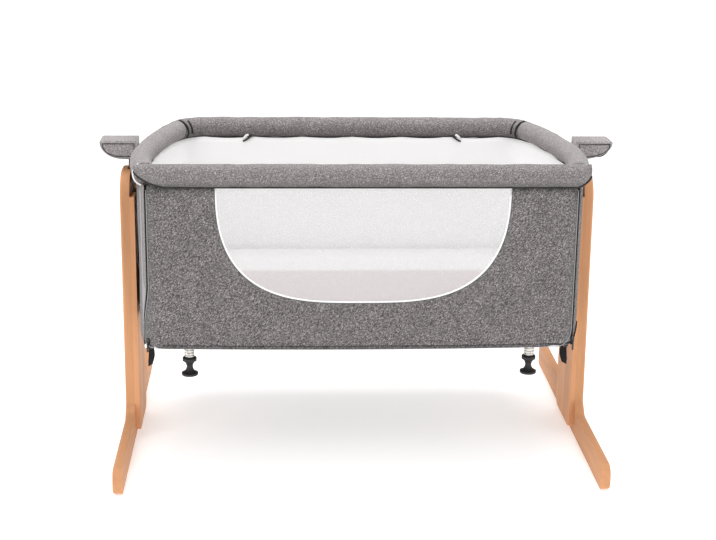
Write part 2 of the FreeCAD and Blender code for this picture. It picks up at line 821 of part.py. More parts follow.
def cam_slot_void():
    """Slanted slot: as the plates rise, the cross pin is drawn inwards."""
    radius = cross_pin_radius + cam_slot_clearance
    reach = cross_pin_length
    upper = V(cross_pin_reach, 0, lock_pin_height)
    lower = V(cross_pin_reach - lock_pin_travel, 0, lock_pin_height - handle_travel)
    along = (lower - upper).normalize()
    side = V(along.z, 0, -along.x) * radius
    ends = [rod(radius, V(p.x, -reach, p.z), V(p.x, reach, p.z)) for p in (upper, lower)]
    corners = [upper + side, lower + side, lower - side, upper - side]
    web = Part.Face(Part.makePolygon([c + V(0, -reach, 0) for c in corners + corners[:1]]))
    return ends[0].fuse([ends[1], web.extrude(V(0, 2 * reach, 0))])


def lock_pin():
    """Round pin with a cross pin; its tip bears on the channel's plain back wall."""
    tip = channel_face_reach - lock_pin_tip_gap
    pin = rod(lock_pin_radius, V(lock_pin_tail_reach, 0, lock_pin_height),
              V(tip, 0, lock_pin_height))
    rim = long_edges(pin, lambda e: e.BoundBox.XMin > tip - 0.01)
    pin = pin.makeChamfer(1.0, rim)
    half = cross_pin_length / 2
    cross = rod(cross_pin_radius, V(cross_pin_reach, -half, lock_pin_height),
                V(cross_pin_reach, half, lock_pin_height))
    return pin.fuse(cross)


# ---- rails ---------------------------------------------------------------------------
def side_cover_front_depth():
    return -(rail_depth_half - rail_pad_radius) + side_cover_front_gap


def side_rail_path():
    return end_path(0.0, rail_height, front_depth=side_cover_front_depth() + 2)


def side_cover_path():
    return end_path(0.0, rail_height, front_depth=side_cover_front_depth())


def back_straight_reach():
    return corner_points(1, 0.0, rail_back_corner_radius)[0].x


def side_rail_tube():
    path = side_rail_path()
    return swept(path, rail_tube_radius).cut(swept(path, rail_tube_radius - rail_tube_wall))


def back_rail_tube():
    reach = back_straight_reach()
    return pipe(rail_tube_radius, rail_tube_wall, V(-reach, rail_depth_half, rail_height),
                V(reach, rail_depth_half, rail_height))


def side_rail_cover():
    """Padded sleeve round the end rail, notched for the bracket and the uprights."""
    path = side_cover_path()
    cover = swept(path, rail_pad_radius)
    cover = cover.cut(swept(path, rail_tube_radius + sleeve_gap))
    cover = cover.cut(upper_bracket_stub(sleeve_gap + 0.2))
    for reach, depth in upright_places():
        cover = cover.cut(rod(upright_radius + sleeve_gap, V(reach, depth, base_height),
                              V(reach, depth, rail_height)))
    return cover


def back_rail_cover():
    reach = back_straight_reach()
    start, end = V(-reach, rail_depth_half, rail_height), V(reach, rail_depth_half, rail_height)
    return rod(rail_pad_radius, start, end).cut(rod(rail_tube_radius + sleeve_gap, start, end))


def upright_places():
    return [(front_upright_reach, front_upright_depth), (back_upright_reach, back_upright_depth)]


def corner_uprights():
    """Four tubes from the base frame up to the end rails, cut to sit on both tubes."""
    rail = swept(side_rail_path(), rail_tube_radius)
    base = swept(base_end_path(), base_tube_radius)
    uprights = []
    for reach, depth in upright_places():
        bottom, top = V(reach, depth, base_height), V(reach, depth, rail_height)
        tube = pipe(upright_radius, upright_wall, bottom, top)
        tube = tube.cut(rail).cut(base)
        keep = max(tube.Solids, key=lambda s: s.Volume)
        if depth == front_upright_depth:
            keep = keep.cut(rod(plunger_radius + 0.3, V(reach - 20, depth, plunger_height),
                                V(reach, depth, plunger_height)))
        uprights.append(keep)
    return Part.makeCompound(uprights)


# ---- base frame ----------------------------------------------------------------------
def base_end_path():
    inset = cloth_offset - base_offset
    return end_path(base_offset, base_height, front_radius=cloth_front_corner_radius - inset)


def base_frame():
    """Two bent end tubes, two long tubes and two cross bars."""
    path = base_end_path()
    end = swept(path, base_tube_radius).cut(swept(path, base_tube_radius - base_tube_wall))
    depth = rail_depth_half + base_offset
    front_reach = path.OrderedVertexes[0].Point.x
    back_reach = path.OrderedVertexes[-1].Point.x
    tubes = [pipe(base_tube_radius, base_tube_wall, V(-front_reach, -depth, base_height),
                  V(front_reach, -depth, base_height)),
             pipe(base_tube_radius, base_tube_wall, V(-back_reach, depth, base_height),
                  V(back_reach, depth, base_height))]
    end_solid = rod(base_tube_radius, V(-front_reach, -depth, base_height),
                    V(front_reach, -depth, base_height))
    back_solid = rod(base_tube_radius, V(-front_reach, depth, base_height),
                     V(front_reach, depth, base_height))
    sweep_solid = swept(path, base_tube_radius)
    bar = pipe(base_tube_radius, base_tube_wall, V(cross_bar_reach, -depth, base_height),
               V(cross_bar_reach, depth, base_height))
    bar = bar.cut(end_solid).cut(back_solid).cut(sweep_solid)
    bar = max(bar.Solids, key=lambda s: s.Volume)
    return Part.makeCompound(tubes + solids_of(both(end)) + solids_of(both(bar)))


def base_board():
    """Board on the base tubes, trimmed where the cloth turns the corners."""
    plate = rounded_plate(board_half_length, board_half_depth, board_corner_radius,
                          board_bottom_height, board_bottom_height + board_thickness)
    inset = cloth_thickness + board_cloth_gap
    room = plan_outline(cloth_offset - inset, board_bottom_height - 1,
                        front_radius=cloth_front_corner_radius - inset)
    return plate.common(Part.Face(room).extrude(V(0, 0, board_thickness + 2)))


def mattress():
    """Foam mattress: drawn-in sides between two seams and a crowned top."""
    low, high = mattress_bottom_height, mattress_top_height
    seam_low, seam_high = low + 7, high - mattress_crown - 5
    levels = [(low, 7.0), (low + 3, 1.5), (seam_low, 0.0),
              ((seam_low + seam_high) / 2, mattress_side_draw), (seam_high, 0.0),
              (seam_high + 4, 2.5), (high - 1.6, 22.0), (high, 70.0)]
    rings = []
    for height, inset in levels:
        offset = mattress_offset - inset
        corner = max(mattress_corner_radius - inset, 12.0)
        rings.append(plan_outline(offset, height, front_radius=corner, back_radius=corner))
    return Part.makeLoft(rings, True, True)


# ---- cloth ---------------------------------------------------------------------------
def window_wire(grow, depth):
    """D-shaped window edge: a superellipse hanging from the underside of the rail."""
    width, drop = window_half_width + grow, window_drop + grow
    points = []
    for i in range(-window_points, window_points + 1):
        turn = math.pi / 2 * i / window_points
        reach = width * math.copysign(abs(math.sin(turn)) ** (2 / window_side_power), turn)
        fall = drop * math.cos(turn) ** (2 / window_bottom_power)
        points.append(V(reach, depth, cloth_top_height - fall))
    curve = Part.BSplineCurve()
    curve.interpolate(points)
    return Part.Wire([curve.toShape(), line(points[-1], points[0])])


def front_corner_points(offset, radius):
    """Start, middle and end of the front cloth's way round a corner."""
    return [corner_point(offset, radius, front_cloth_turn * share) for share in (0, 0.5, 1)]


def front_panel():
    """Front cloth from zip to zip with its window, and the narrow strips beyond the zips."""
    outer = front_corner_points(cloth_offset, cloth_front_corner_radius)
    inner = front_corner_points(cloth_offset - cloth_thickness,
                                cloth_front_corner_radius - cloth_thickness)
    flip = [V(-p.x, p.y, 0) for p in outer]
    flip_in = [V(-p.x, p.y, 0) for p in inner]
    edges = [line(flip[0], outer[0]), arc(*outer), line(outer[2], inner[2]),
             arc(*inner[::-1]), line(inner[0], flip_in[0]), arc(*flip_in),
             line(flip_in[2], flip[2]), arc(*flip[::-1])]
    outline = Part.Wire(Part.__sortEdges__(edges))
    outline.translate(V(0, 0, cloth_bottom_height))
    panel = Part.Face(outline).extrude(V(0, 0, cloth_top_height - cloth_bottom_height))
    hole = Part.Face(window_wire(0, front_face_depth - 5)).extrude(V(0, 10, 0))
    strip = corner_band(cloth_thickness, zip_turns()[1],
                        corner_sweep(cloth_offset, cloth_front_corner_radius), cloth_top_height)
    return Part.makeCompound(solids_of(panel.cut(hole)) + solids_of(both(strip)))


def corner_band(thickness, start, end, top):
    """Upright strip of the front corner's curve between two turns."""
    inner_offset, inner_radius = cloth_offset - thickness, cloth_front_corner_radius - thickness
    edges = [corner_arc(cloth_offset, cloth_front_corner_radius, start, end),
             line(corner_point(cloth_offset, cloth_front_corner_radius, end),
                  corner_point(inner_offset, inner_radius, end)),
             corner_arc(inner_offset, inner_radius, end, start),
             line(corner_point(inner_offset, inner_radius, start),
                  corner_point(cloth_offset, cloth_front_corner_radius, start))]
    strip = Part.Face(Part.Wire(edges))
    strip.translate(V(0, 0, cloth_bottom_height))
    return strip.extrude(V(0, 0, top - cloth_bottom_height))


def front_mesh():
    back = front_face_depth + cloth_thickness
    sheet = Part.Face(window_wire(mesh_overlap, back + mesh_gap))
    return sheet.extrude(V(0, mesh_thickness, 0))


def end_panel():
    """Cloth round one end from the zip to the back, open for the lock and the brackets."""
    inner_end = corner_points(-1, cloth_offset - cloth_thickness,
                              cloth_front_corner_radius - cloth_thickness)[2]
    panel = band(cloth_offset, cloth_thickness, cloth_bottom_height, cloth_top_height,
                 front_depth=inner_end.y + cloth_gap)
    half = housing_width / 2 + 1.5
    lock_way = block(housing_inner_reach, column_inner_reach, -half, half,
                     board_bottom_height - 1.5, housing_top_height + 1.5)
    bracket_way = block(housing_inner_reach, column_inner_reach, -half, half,
                        upper_bracket_top() - bracket_thickness - 1.5, rail_height)
    return panel.cut(lock_way).cut(bracket_way)


def back_panel():
    reach = back_straight_reach()
    depth = rail_depth_half + cloth_offset
    return block(-reach, reach, depth - cloth_thickness, depth, cloth_bottom_height,
                 cloth_top_height)


def bottom_cover():
    """Cloth under the base frame, with holes for the feet and slits for the straps."""
    offset = cloth_offset - cloth_thickness - cloth_gap
    corner = cloth_front_corner_radius - cloth_thickness - cloth_gap
    outline = plan_outline(offset, cloth_bottom_height, front_radius=corner)
    cover = Part.Face(outline).extrude(V(0, 0, cloth_thickness))
    for reach, depth in foot_places():
        cover = cover.cut(rod(stud_neck_radius + 1, V(reach, depth, cloth_bottom_height - 1),
                              V(reach, depth, base_height)))
    for side in (-1, 1):
        cover = cover.cut(strap(side, cloth_gap))
    return cover


def inner_liner():
    """White lining of the ends and the back, hung inside the rails."""
    low, high = board_bottom_height + board_thickness + cloth_gap, liner_top_height
    right = band(liner_offset, liner_thickness, low, high, front_depth=liner_front_end_depth)
    reach = corner_points(1, liner_offset, rail_back_corner_radius + liner_offset)[0].x
    depth = rail_depth_half + liner_offset
    back = block(-reach, reach, depth - liner_thickness, depth, low, high)
    lining = back.fuse([right, mirrored(right)]).removeSplitter()
    half = hook_width / 2 + cloth_gap
    for side in (-1, 1):
        eyelet = block(side * hook_reach - half, side * hook_reach + half,
                       depth - 10, depth + 5, hook_top() - hook_length - cloth_gap,
                       hook_top() - hook_length + 3 + cloth_gap)
        lining = lining.cut(eyelet)
    return lining


def hook_top():
    far = liner_hook_depth() + hook_thickness
    return rail_height - math.sqrt(rail_pad_radius ** 2 - (rail_depth_half - far) ** 2) - 0.2


def liner_hook_depth():
    return rail_depth_half + liner_offset + cloth_gap


def zip_turns():
    """Degrees round the front corner at which the zip starts and ends."""
    wide = math.degrees(zip_width / cloth_front_corner_radius)
    return front_cloth_turn, front_cloth_turn + wide


def zip_tapes():
    """Zip between the front cloth and each end, from hem to rail."""
    gap = math.degrees(zip_seam_gap / cloth_front_corner_radius)
    start, end = zip_turns()
    return both(corner_band(zip_thickness, start + gap, end - gap,
                            cloth_top_height - zip_top_gap))


def zip_slider():
    """Slider at the foot of the closed zip, its pull tab hanging below the hem."""
    half = zip_width / 2
    low = cloth_bottom_height + zip_slider_rise
    top = low + zip_slider_length
    body = slab([(-half - 0.5, low), (half + 0.5, low), (half + 0.5, top), (-half - 0.5, top)],
                [1.5, 1.5, 2.5, 2.5], "yz", cloth_gap, cloth_gap + zip_slider_thickness / 2)
    tab = slab([(1 - half, low - 16), (half - 1, low - 16), (half - 1, low + 6),
                (1 - half, low + 6)], [2, 2, 1, 1], "yz",
               cloth_gap + zip_slider_thickness / 2, cloth_gap + zip_slider_thickness)
    slider = body.fuse(tab)
    turn = sum(zip_turns()) / 2
    slider.rotate(V(0, 0, 0), V(0, 0, 1), turn - 90)
    slider.translate(corner_point(cloth_offset, cloth_front_corner_radius, turn))
    return slider


# ---- drop side -----------------------------------------------------------------------
def front_rail_tube():
    return pipe(rail_tube_radius, rail_tube_wall,
                V(-front_tube_end_reach, -rail_depth_half, rail_height),
                V(front_tube_end_reach, -rail_depth_half, rail_height))


def sleeve_tip():
    """End of the front sleeve: round sections that shrink towards the rail's top and back."""
    rings = []
    for share in (0.0, 0.3, 0.55, 0.75, 0.9, 1.0):
        shrink = 1 - math.sqrt(1 - (share * 0.98) ** 2)
        radius = rail_pad_radius - (rail_pad_radius - front_rail_end_radius) * shrink
        drawn = rail_pad_radius - radius
        centre = V(front_rail_end_reach - front_rail_taper * (1 - share),
                   -rail_depth_half + drawn * 0.5, rail_height + drawn * 0.8)
        rings.append(Part.Wire(Part.makeCircle(radius, centre, V(1, 0, 0))))
    return Part.makeLoft(rings, True)


def front_rail_cover():
    """Padded sleeve of the front rail; its closed ends draw in towards the end rails."""
    straight = front_rail_end_reach - front_rail_taper
    cover = rod(rail_pad_radius, V(-straight, -rail_depth_half, rail_height),
                V(straight, -rail_depth_half, rail_height))
    tip = sleeve_tip()
    cover = cover.fuse([tip, mirrored(tip)])
    reach = front_tube_end_reach + sleeve_gap
    cover = cover.cut(rod(rail_tube_radius + sleeve_gap,
                          V(-reach, -rail_depth_half, rail_height),
                          V(reach, -rail_depth_half, rail_height)))
    for side in (-1, 1):
        cover = cover.cut(rod(spigot_radius + sleeve_gap,
                              V(side * spigot_reach, -rail_depth_half, arm_bottom_height),
                              V(side * spigot_reach, -rail_depth_half, rail_height)))
    return cover


def slide_carriage():
    """Moulded collar on the front upright, its arm and the spigot under the rail."""
    centre = V(front_upright_reach, front_upright_depth, 0)
    low, high = carriage_bottom_height, carriage_bottom_height + carriage_length
    collar = rod(carriage_radius, centre + V(0, 0, low), centre + V(0, 0, high))
    arm_top = arm_bottom_height + arm_thickness
    arm = slab([(spigot_reach - spigot_radius, -rail_depth_half - spigot_radius),
                (spigot_reach + spigot_radius + 1, -rail_depth_half - spigot_radius + 1),
                (front_upright_reach + 8, front_upright_depth - 6),
                (front_upright_reach - 12, front_upright_depth + 4)], [7, 7, 2, 2],
               "xy", arm_bottom_height, arm_top)
    spigot = rod(spigot_radius, V(spigot_reach, -rail_depth_half, arm_bottom_height + 2),
                 V(spigot_reach, -rail_depth_half, rail_height))
    boss_inner = front_upright_reach - carriage_radius - plunger_boss_length + 1
    boss = rod(plunger_knob_radius - 1, V(boss_inner, front_upright_depth, plunger_height),
               V(front_upright_reach - 4, front_upright_depth, plunger_height))
    shape = collar.fuse([arm, spigot, boss])
    rail = rod(rail_tube_radius, V(-front_tube_end_reach, -rail_depth_half, rail_height),
               V(front_tube_end_reach, -rail_depth_half, rail_height))
    bore = rod(upright_radius + carriage_bore_clearance, centre + V(0, 0, low - 1),
               centre + V(0, 0, high + 1))
    way = rod(plunger_radius + plunger_clearance,
              V(boss_inner - 1, front_upright_depth, plunger_height),
              V(front_upright_reach, front_upright_depth, plunger_height))
    shape = shape.cut(rail).cut(bore).cut(way)
    return max(shape.Solids, key=lambda s: s.Volume)


def latch_plunger():
    """Spring plunger with a pull knob, on the crib side of the carriage."""
    boss_inner = front_upright_reach - carriage_radius - plunger_boss_length + 1
    knob_outer = boss_inner - 0.3
    knob = rod(plunger_knob_radius, V(knob_outer - plunger_knob_length, front_upright_depth,
                                      plunger_height),
               V(knob_outer, front_upright_depth, plunger_height))
    rim = long_edges(knob, lambda e: e.BoundBox.XMax < knob_outer - plunger_knob_length + 0.01)
    knob = knob.makeFillet(2.0, rim)
    shank = rod(plunger_radius, V(knob_outer - 1, front_upright_depth, plunger_height),
                V(front_upright_reach - upright_radius - 0.3, front_upright_depth,
                  plunger_height))
    return knob.fuse(shank)


# ---- feet, straps and hooks ----------------------------------------------------------
def foot_places():
    return [(side * foot_reach, depth) for side in (-1, 1) for depth in (-foot_depth, foot_depth)]


def foot_stud():
    """Plated stud: a thick collar below the cloth on a neck that enters the cross bar."""
    low = foot_base_height + foot_rubber_height
    collar_top = cloth_bottom_height - cloth_gap
    points = [(0, low), (stud_radius - 1, low), (stud_radius, low + 1),
              (stud_radius, collar_top - 1), (stud_radius - 1, collar_top),
              (stud_neck_radius, collar_top), (stud_neck_radius, base_height),
              (0, base_height)]
    wire = Part.makePolygon([V(r, 0, z) for r, z in points + points[:1]])
    return Part.Face(wire).revolve(V(0, 0, 0), V(0, 0, 1), 360)


def foot_studs():
    bar = rod(base_tube_radius, V(foot_reach, -rail_depth_half, base_height),
              V(foot_reach, rail_depth_half, base_height))
    pieces = []
    for reach, depth in foot_places():
        piece = foot_stud()
        piece.translate(V(reach, depth, 0))
        piece = piece.cut(bar if reach > 0 else mirrored(bar))
        pieces.append(max(piece.Solids, key=lambda s: s.Volume))
    return Part.makeCompound(pieces)


def foot_rubber():
    """Hourglass rubber foot."""
    low = foot_base_height
    high = low + foot_rubber_height
    waist = low + foot_rubber_height * 0.47
    rim = low + 5
    shoulder = high - 8
    edges = [line(V(0, 0, low), V(foot_base_radius - 1, 0, low)),
             line(V(foot_base_radius - 1, 0, low), V(foot_base_radius, 0, low + 1)),
             line(V(foot_base_radius, 0, low + 1), V(foot_base_radius, 0, rim)),
             arc(V(foot_base_radius, 0, rim), V(foot_waist_radius, 0, waist),
                 V(foot_top_radius, 0, shoulder)),
             line(V(foot_top_radius, 0, shoulder), V(foot_top_radius, 0, high - 2)),
             line(V(foot_top_radius, 0, high - 2), V(foot_top_radius - 2, 0, high)),
             line(V(foot_top_radius - 2, 0, high), V(0, 0, high)),
             line(V(0, 0, high), V(0, 0, low))]
    return Part.Face(Part.Wire(edges)).revolve(V(0, 0, 0), V(0, 0, 1), 360)


def foot_rubbers():
    pieces = []
    for reach, depth in foot_places():
        piece = foot_rubber()
        piece.translate(V(reach, depth, 0))
        pieces.append(piece)
    return Part.makeCompound(pieces)


def strap(side, grow=0.0):
    """Webbing tail that hangs from the base tube near a front corner."""
    half = strap_width / 2 + grow
    thick = strap_thickness / 2 + grow
    tail = block(side * (strap_reach - thick), side * (strap_reach + thick),
                 strap_depth - half, strap_depth + half, strap_end_height, base_height)
    tube = swept(base_end_path(), base_tube_radius)
    tail = tail.cut(tube if side > 0 else mirrored(tube))
    return min(tail.Solids, key=lambda s: s.BoundBox.ZMin)


def anchor_straps():
    return Part.makeCompound([strap(-1), strap(1)])


def strap_buckle():
    """Ladder buckle threaded on the webbing."""
    middle = strap_end_height + buckle_length / 2 + 6
    half = buckle_width / 2
    shape = slab([(strap_depth - half, middle - buckle_length / 2),
                  (strap_depth + half, middle - buckle_length / 2),
                  (strap_depth + half, middle + buckle_length / 2),
                  (strap_depth - half, middle + buckle_length / 2)], [5] * 4, "yz",
                 strap_reach - buckle_thickness / 2, strap_reach + buckle_thickness / 2)
    way = block(strap_reach - strap_thickness / 2 - cloth_gap,
                strap_reach + strap_thickness / 2 + cloth_gap,
                strap_depth - strap_width / 2 - 1, strap_depth + strap_width / 2 + 1,
                middle - buckle_length, middle + buckle_length)
    window = block(strap_reach - buckle_thickness, strap_reach - strap_thickness / 2,
                   strap_depth - strap_width / 2 - 1, strap_depth + strap_width / 2 + 1,
                   middle - 7, middle + 7)
    return shape.cut(way).cut(window)


def liner_hook():
    """Small plastic hook under the back rail that holds the lining's top edge."""
    depth = liner_hook_depth()
    top = hook_top()
    half = hook_width / 2
    profile = [(depth, top), (depth + hook_thickness, top),
               (depth + hook_thickness, top - hook_length),
               (depth - 6, top - hook_length), (depth - 6, top - hook_length + 8),
               (depth - 3.6, top - hook_length + 8), (depth - 3.6, top - hook_length + 3),
               (depth, top - hook_length + 3)]
    wire = Part.makePolygon([V(hook_reach - half, y, z) for y, z in profile + profile[:1]])
    return Part.Face(wire).extrude(V(hook_width, 0, 0))


# ---- write every node ----------------------------------------------------------------
save_pair("post_outer_board", outer_board())
save_pair("post_inner_board", inner_board())
save_pair("foot_beam", foot_beam())
save_pair("floor_pads", floor_pads())
save_pair("guide_channel", guide_channel())
save_pair("top_guide", top_guide())
save_pair("post_fasteners", post_fasteners())

save_pair("lift_column", lift_column())
save("glide_pads", both(glide_pads()))
save("lift_brackets", both(Part.makeCompound([lower_bracket(), upper_bracket()])))
save("bracket_bolts", both(bracket_bolts()))
save("lock_housings", both(lock_housing()))
save_pair("release_spring", release_spring())
save_pair("release_rod", release_rod())
save_pair("lock_pin", lock_pin())
handle = handle_core()
save_pair("handle_core", handle)
save_pair("handle_cover", handle_cover(handle))

save("base_frame", base_frame())
save("base_board", base_board())
save("mattress", mattress())
save("corner_uprights", both(corner_uprights()))
save_pair("rail_tube", side_rail_tube())
save("back_rail_tube", back_rail_tube())
save_pair("rail_cover", side_rail_cover())
save("back_rail_cover", back_rail_cover())

save_pair("end_panel", end_panel())
save("back_panel", back_panel())
save("bottom_cover", bottom_cover())
save("inner_liner", inner_liner())
save("liner_hooks", both(liner_hook()))
save("zip_tapes", zip_tapes())
save_pair("zip_slider", zip_slider())

save("front_rail_tube", front_rail_tube())
save("front_rail_cover", front_rail_cover())
save("slide_carriages", both(slide_carriage()))
save_pair("latch_plunger", latch_plunger())
save("front_panel", front_panel())
save("front_mesh", front_mesh())

save("foot_studs", foot_studs())
save("foot_rubbers", foot_rubbers())
save("anchor_straps", anchor_straps())
save("strap_buckles", both(strap_buckle()))
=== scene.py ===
"""Dresses the bedside crib: beech legs, padded melange rails, mesh window, white lining."""

import json
import math

import bmesh
import bpy
from mathutils import Matrix, Vector, noise


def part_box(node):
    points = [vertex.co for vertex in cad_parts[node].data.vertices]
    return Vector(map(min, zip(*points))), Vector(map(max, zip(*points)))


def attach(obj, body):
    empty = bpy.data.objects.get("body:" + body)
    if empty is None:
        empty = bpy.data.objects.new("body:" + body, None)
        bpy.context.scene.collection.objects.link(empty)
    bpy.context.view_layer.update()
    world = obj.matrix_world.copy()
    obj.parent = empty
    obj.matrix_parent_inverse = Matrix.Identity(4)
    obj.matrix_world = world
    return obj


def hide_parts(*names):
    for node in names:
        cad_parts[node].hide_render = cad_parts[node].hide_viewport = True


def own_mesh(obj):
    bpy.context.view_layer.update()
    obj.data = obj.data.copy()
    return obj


bl_info = {
    "name": "Bedside crib",
    "version": (1, 0, 0),
    "blender": (4, 5, 0),
    "location": "View3D > Sidebar > Crib",
    "description": "Beech legs, padded rails, mesh window and lining on the crib's frame",
    "category": "Object",
}

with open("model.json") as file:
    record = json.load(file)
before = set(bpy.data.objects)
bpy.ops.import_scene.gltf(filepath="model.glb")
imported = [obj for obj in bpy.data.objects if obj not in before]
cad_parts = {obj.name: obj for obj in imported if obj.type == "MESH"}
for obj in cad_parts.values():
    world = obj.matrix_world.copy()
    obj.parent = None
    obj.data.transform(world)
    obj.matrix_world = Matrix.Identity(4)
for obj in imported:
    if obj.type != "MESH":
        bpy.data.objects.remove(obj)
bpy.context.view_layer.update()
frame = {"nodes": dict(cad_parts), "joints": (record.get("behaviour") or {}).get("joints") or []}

# ---- places read from the frame (metres) ---------------------------------------------
TUBE_LOW, TUBE_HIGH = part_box("front_rail_tube")
RAIL_HEIGHT = (TUBE_LOW.z + TUBE_HIGH.z) / 2
RAIL_DEPTH = -(TUBE_LOW.y + TUBE_HIGH.y) / 2
PANEL_LOW, PANEL_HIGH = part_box("front_panel")
CLOTH_BOTTOM = PANEL_LOW.z
CLOTH_TOP = PANEL_HIGH.z
CLOTH_TALL = CLOTH_TOP - CLOTH_BOTTOM
SLEEVE_LOW, SLEEVE_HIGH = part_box("front_rail_cover")
LINER_LOW, LINER_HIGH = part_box("inner_liner")
WING_LOW, WING_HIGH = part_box("right_handle_cover")
SIDE_FRONT_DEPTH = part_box("right_rail_cover")[0].y
WALL_FRONT_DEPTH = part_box("right_end_panel")[0].y

# ---- the basket's plan ---------------------------------------------------------------
BOW_RADIUS = 0.788
BOW_CENTRE = Vector((-0.3400076, -0.056))
BACK_CORNER = 0.062
CLOTH_OFFSET = 0.010
CLOTH_THICKNESS = 0.0017
CLOTH_FRONT_CORNER = 0.046
LINER_OFFSET = -0.0165
LINER_FRONT_DEPTH = -0.170
WINDOW_SIDE_POWER = 3.2
WINDOW_BOTTOM_POWER = 2.55

# ---- front corners -------------------------------------------------------------------
ZIP_TURN = math.radians(42.0)
ZIP_WIDTH = 0.006
ZIP_SWEEP = ZIP_WIDTH / CLOTH_FRONT_CORNER
ZIP_BEND_LOW, ZIP_BEND_HIGH = 0.300, 0.395
ZIP_FOOT_TURN = {1: 0.0, -1: math.radians(20.0)}
FOOT_POWER = {1: 20.0, -1: 34.0}
STRIP_FOOT_RISE = {1: 0.042, -1: 0.006}
WALL_FOOT_RISE = {1: 0.040, -1: 0.0}
HEM_SAG = 0.004

# ---- front sleeve's ends -------------------------------------------------------------
TIP_LENGTH = {1: 0.030, -1: 0.062}
TIP_RADIUS = {1: 0.0115, -1: 0.005}
TIP_LIFT = {1: 0.95, -1: 0.8}
SLEEVE_RISE = 0.0008
SIDE_RADIUS = 0.0216
SIDE_PULL = 0.0092
BACK_SEAM_TURN = math.radians(64.0)

# ---- camera --------------------------------------------------------------------------
CAMERA_PLACE = Vector((-0.16849, -3.16654, 1.27331))
CAMERA_YAW = 0.05447
CAMERA_PITCH = 0.28242
CAMERA_ROLL = 0.01243
CAMERA_LENS = 76.8

DROP_JOINT = next(j for j in frame["joints"] if j["name"] == "drop_side")
DROP_KEEP = 1 - DROP_JOINT["range_m"][1] / CLOTH_TALL
SIDES = ((1, "right"), (-1, "left"))


def sizes():
    return bpy.context.scene.crib_sizes


def colours():
    return bpy.context.scene.crib_colours


# ---- shader maths --------------------------------------------------------------------
class Signal:
    """A value socket on which sums are written as expressions."""

    def __init__(self, tree, socket):
        self.tree = tree
        self.socket = socket

    def maths(self, operation, *values):
        node = self.tree.nodes.new("ShaderNodeMath")
        node.operation = operation
        for socket, value in zip(node.inputs, values):
            join(self.tree, socket, value)
        return Signal(self.tree, node.outputs[0])

    def __add__(self, other):
        return self.maths("ADD", self, other)

    def __radd__(self, other):
        return self.maths("ADD", other, self)

    def __sub__(self, other):
        return self.maths("SUBTRACT", self, other)

    def __rsub__(self, other):
        return self.maths("SUBTRACT", other, self)

    def __mul__(self, other):
        return self.maths("MULTIPLY", self, other)

    def __rmul__(self, other):
        return self.maths("MULTIPLY", other, self)

    def __truediv__(self, other):
        return self.maths("DIVIDE", self, other)

    def clipped(self):
        return self.maths("MINIMUM", self.maths("MAXIMUM", self, 0.0), 1.0)


def join(tree, socket, value):
    """Feeds a socket with a signal or sets its constant."""
    if isinstance(value, Signal):
        tree.links.new(value.socket, socket)
    else:
        socket.default_value = value


class Finish:
    """A material and the few ways its nodes are made."""

    def __init__(self, name, **constants):
        self.material = bpy.data.materials.new(name)
        self.material.use_nodes = True
        self.tree = self.material.node_tree
        self.shader = self.tree.nodes["Principled BSDF"]
        for label, value in constants.items():
            self.shader.inputs[label.replace("_", " ").title()].default_value = value

    def node(self, kind, settings=None, sockets=None, output=0):
        made = self.tree.nodes.new(kind)
        settings = dict(settings or {})
        stops = settings.pop("stops", None)
        for label, value in settings.items():
            setattr(made, label, value)
        if stops:
            ramp = made.color_ramp
            while len(ramp.elements) < len(stops):
                ramp.elements.new(0.5)
            for element, (place, colour) in zip(ramp.elements, stops):
                element.position = place
                element.color = (*colour, 1.0)
        for label, value in (sockets or {}).items():
            join(self.tree, made.inputs[label], value)
        return Signal(self.tree, made.outputs[output])

    def place(self, stretch=(1, 1, 1), turn=(0, 0, 0)):
        """Object coordinates, turned first and then divided by the stretch."""
        here = self.node("ShaderNodeTexCoord", output="Object")
        return self.node("ShaderNodeMapping", {"vector_type": "TEXTURE"},
                         {"Vector": here, "Scale": stretch, "Rotation": turn})

    def grain(self, where, scale, detail=2.0, roughness=0.55, distortion=0.0):
        return self.node("ShaderNodeTexNoise", sockets={
            "Vector": where, "Scale": scale, "Detail": detail, "Roughness": roughness,
            "Distortion": distortion}, output="Fac")

    def cells(self, where, scale):
        return self.node("ShaderNodeTexVoronoi", sockets={"Vector": where, "Scale": scale},
                         output="Distance")

    def axis(self, where, name):
        return self.node("ShaderNodeSeparateXYZ", sockets={0: where}, output=name)

    def ramp(self, value, *stops):
        return self.node("ShaderNodeValToRGB", {"stops": stops}, {"Fac": value}, output="Color")

    def blend(self, mask, first, second):
        first = (*first, 1.0) if isinstance(first, tuple) else first
        second = (*second, 1.0) if isinstance(second, tuple) else second
        return self.node("ShaderNodeMix", {"data_type": "RGBA"}, {0: mask, 6: first, 7: second},
                         output=2)

    def stretched_range(self, value, low, high):
        """0 below low, 1 above high, straight between."""
        return ((value - low) / (high - low)).clipped()

    def bump(self, height, depth, strength=1.0):
        normal = self.node("ShaderNodeBump", {}, {"Strength": strength, "Distance": depth,
                                                  "Height": height})
        self.set("Normal", normal)

    def set(self, label, value):
        if isinstance(value, tuple) and len(value) == 3 and label == "Base Color":
            value = (*value, 1.0)
        join(self.tree, self.shader.inputs[label], value)


FINISHES = {}


def finish_of(name):
    """Each finish is made once, the first time a piece asks for it."""
    if name not in FINISHES:
        maker, *details = FINISH_MAKERS[name]
        FINISHES[name] = maker(*details)
    return FINISHES[name]


def scaled(colour, amount):
    return tuple(min(1.0, c * amount) for c in colour)


def colour_of(colour):
    """A colour given by its name in the panel, or as it is."""
    return tuple(getattr(colours(), colour)) if isinstance(colour, str) else colour


def set_gloss(finish, amount):
    finish.shader.inputs["Specular IOR Level"].default_value = amount


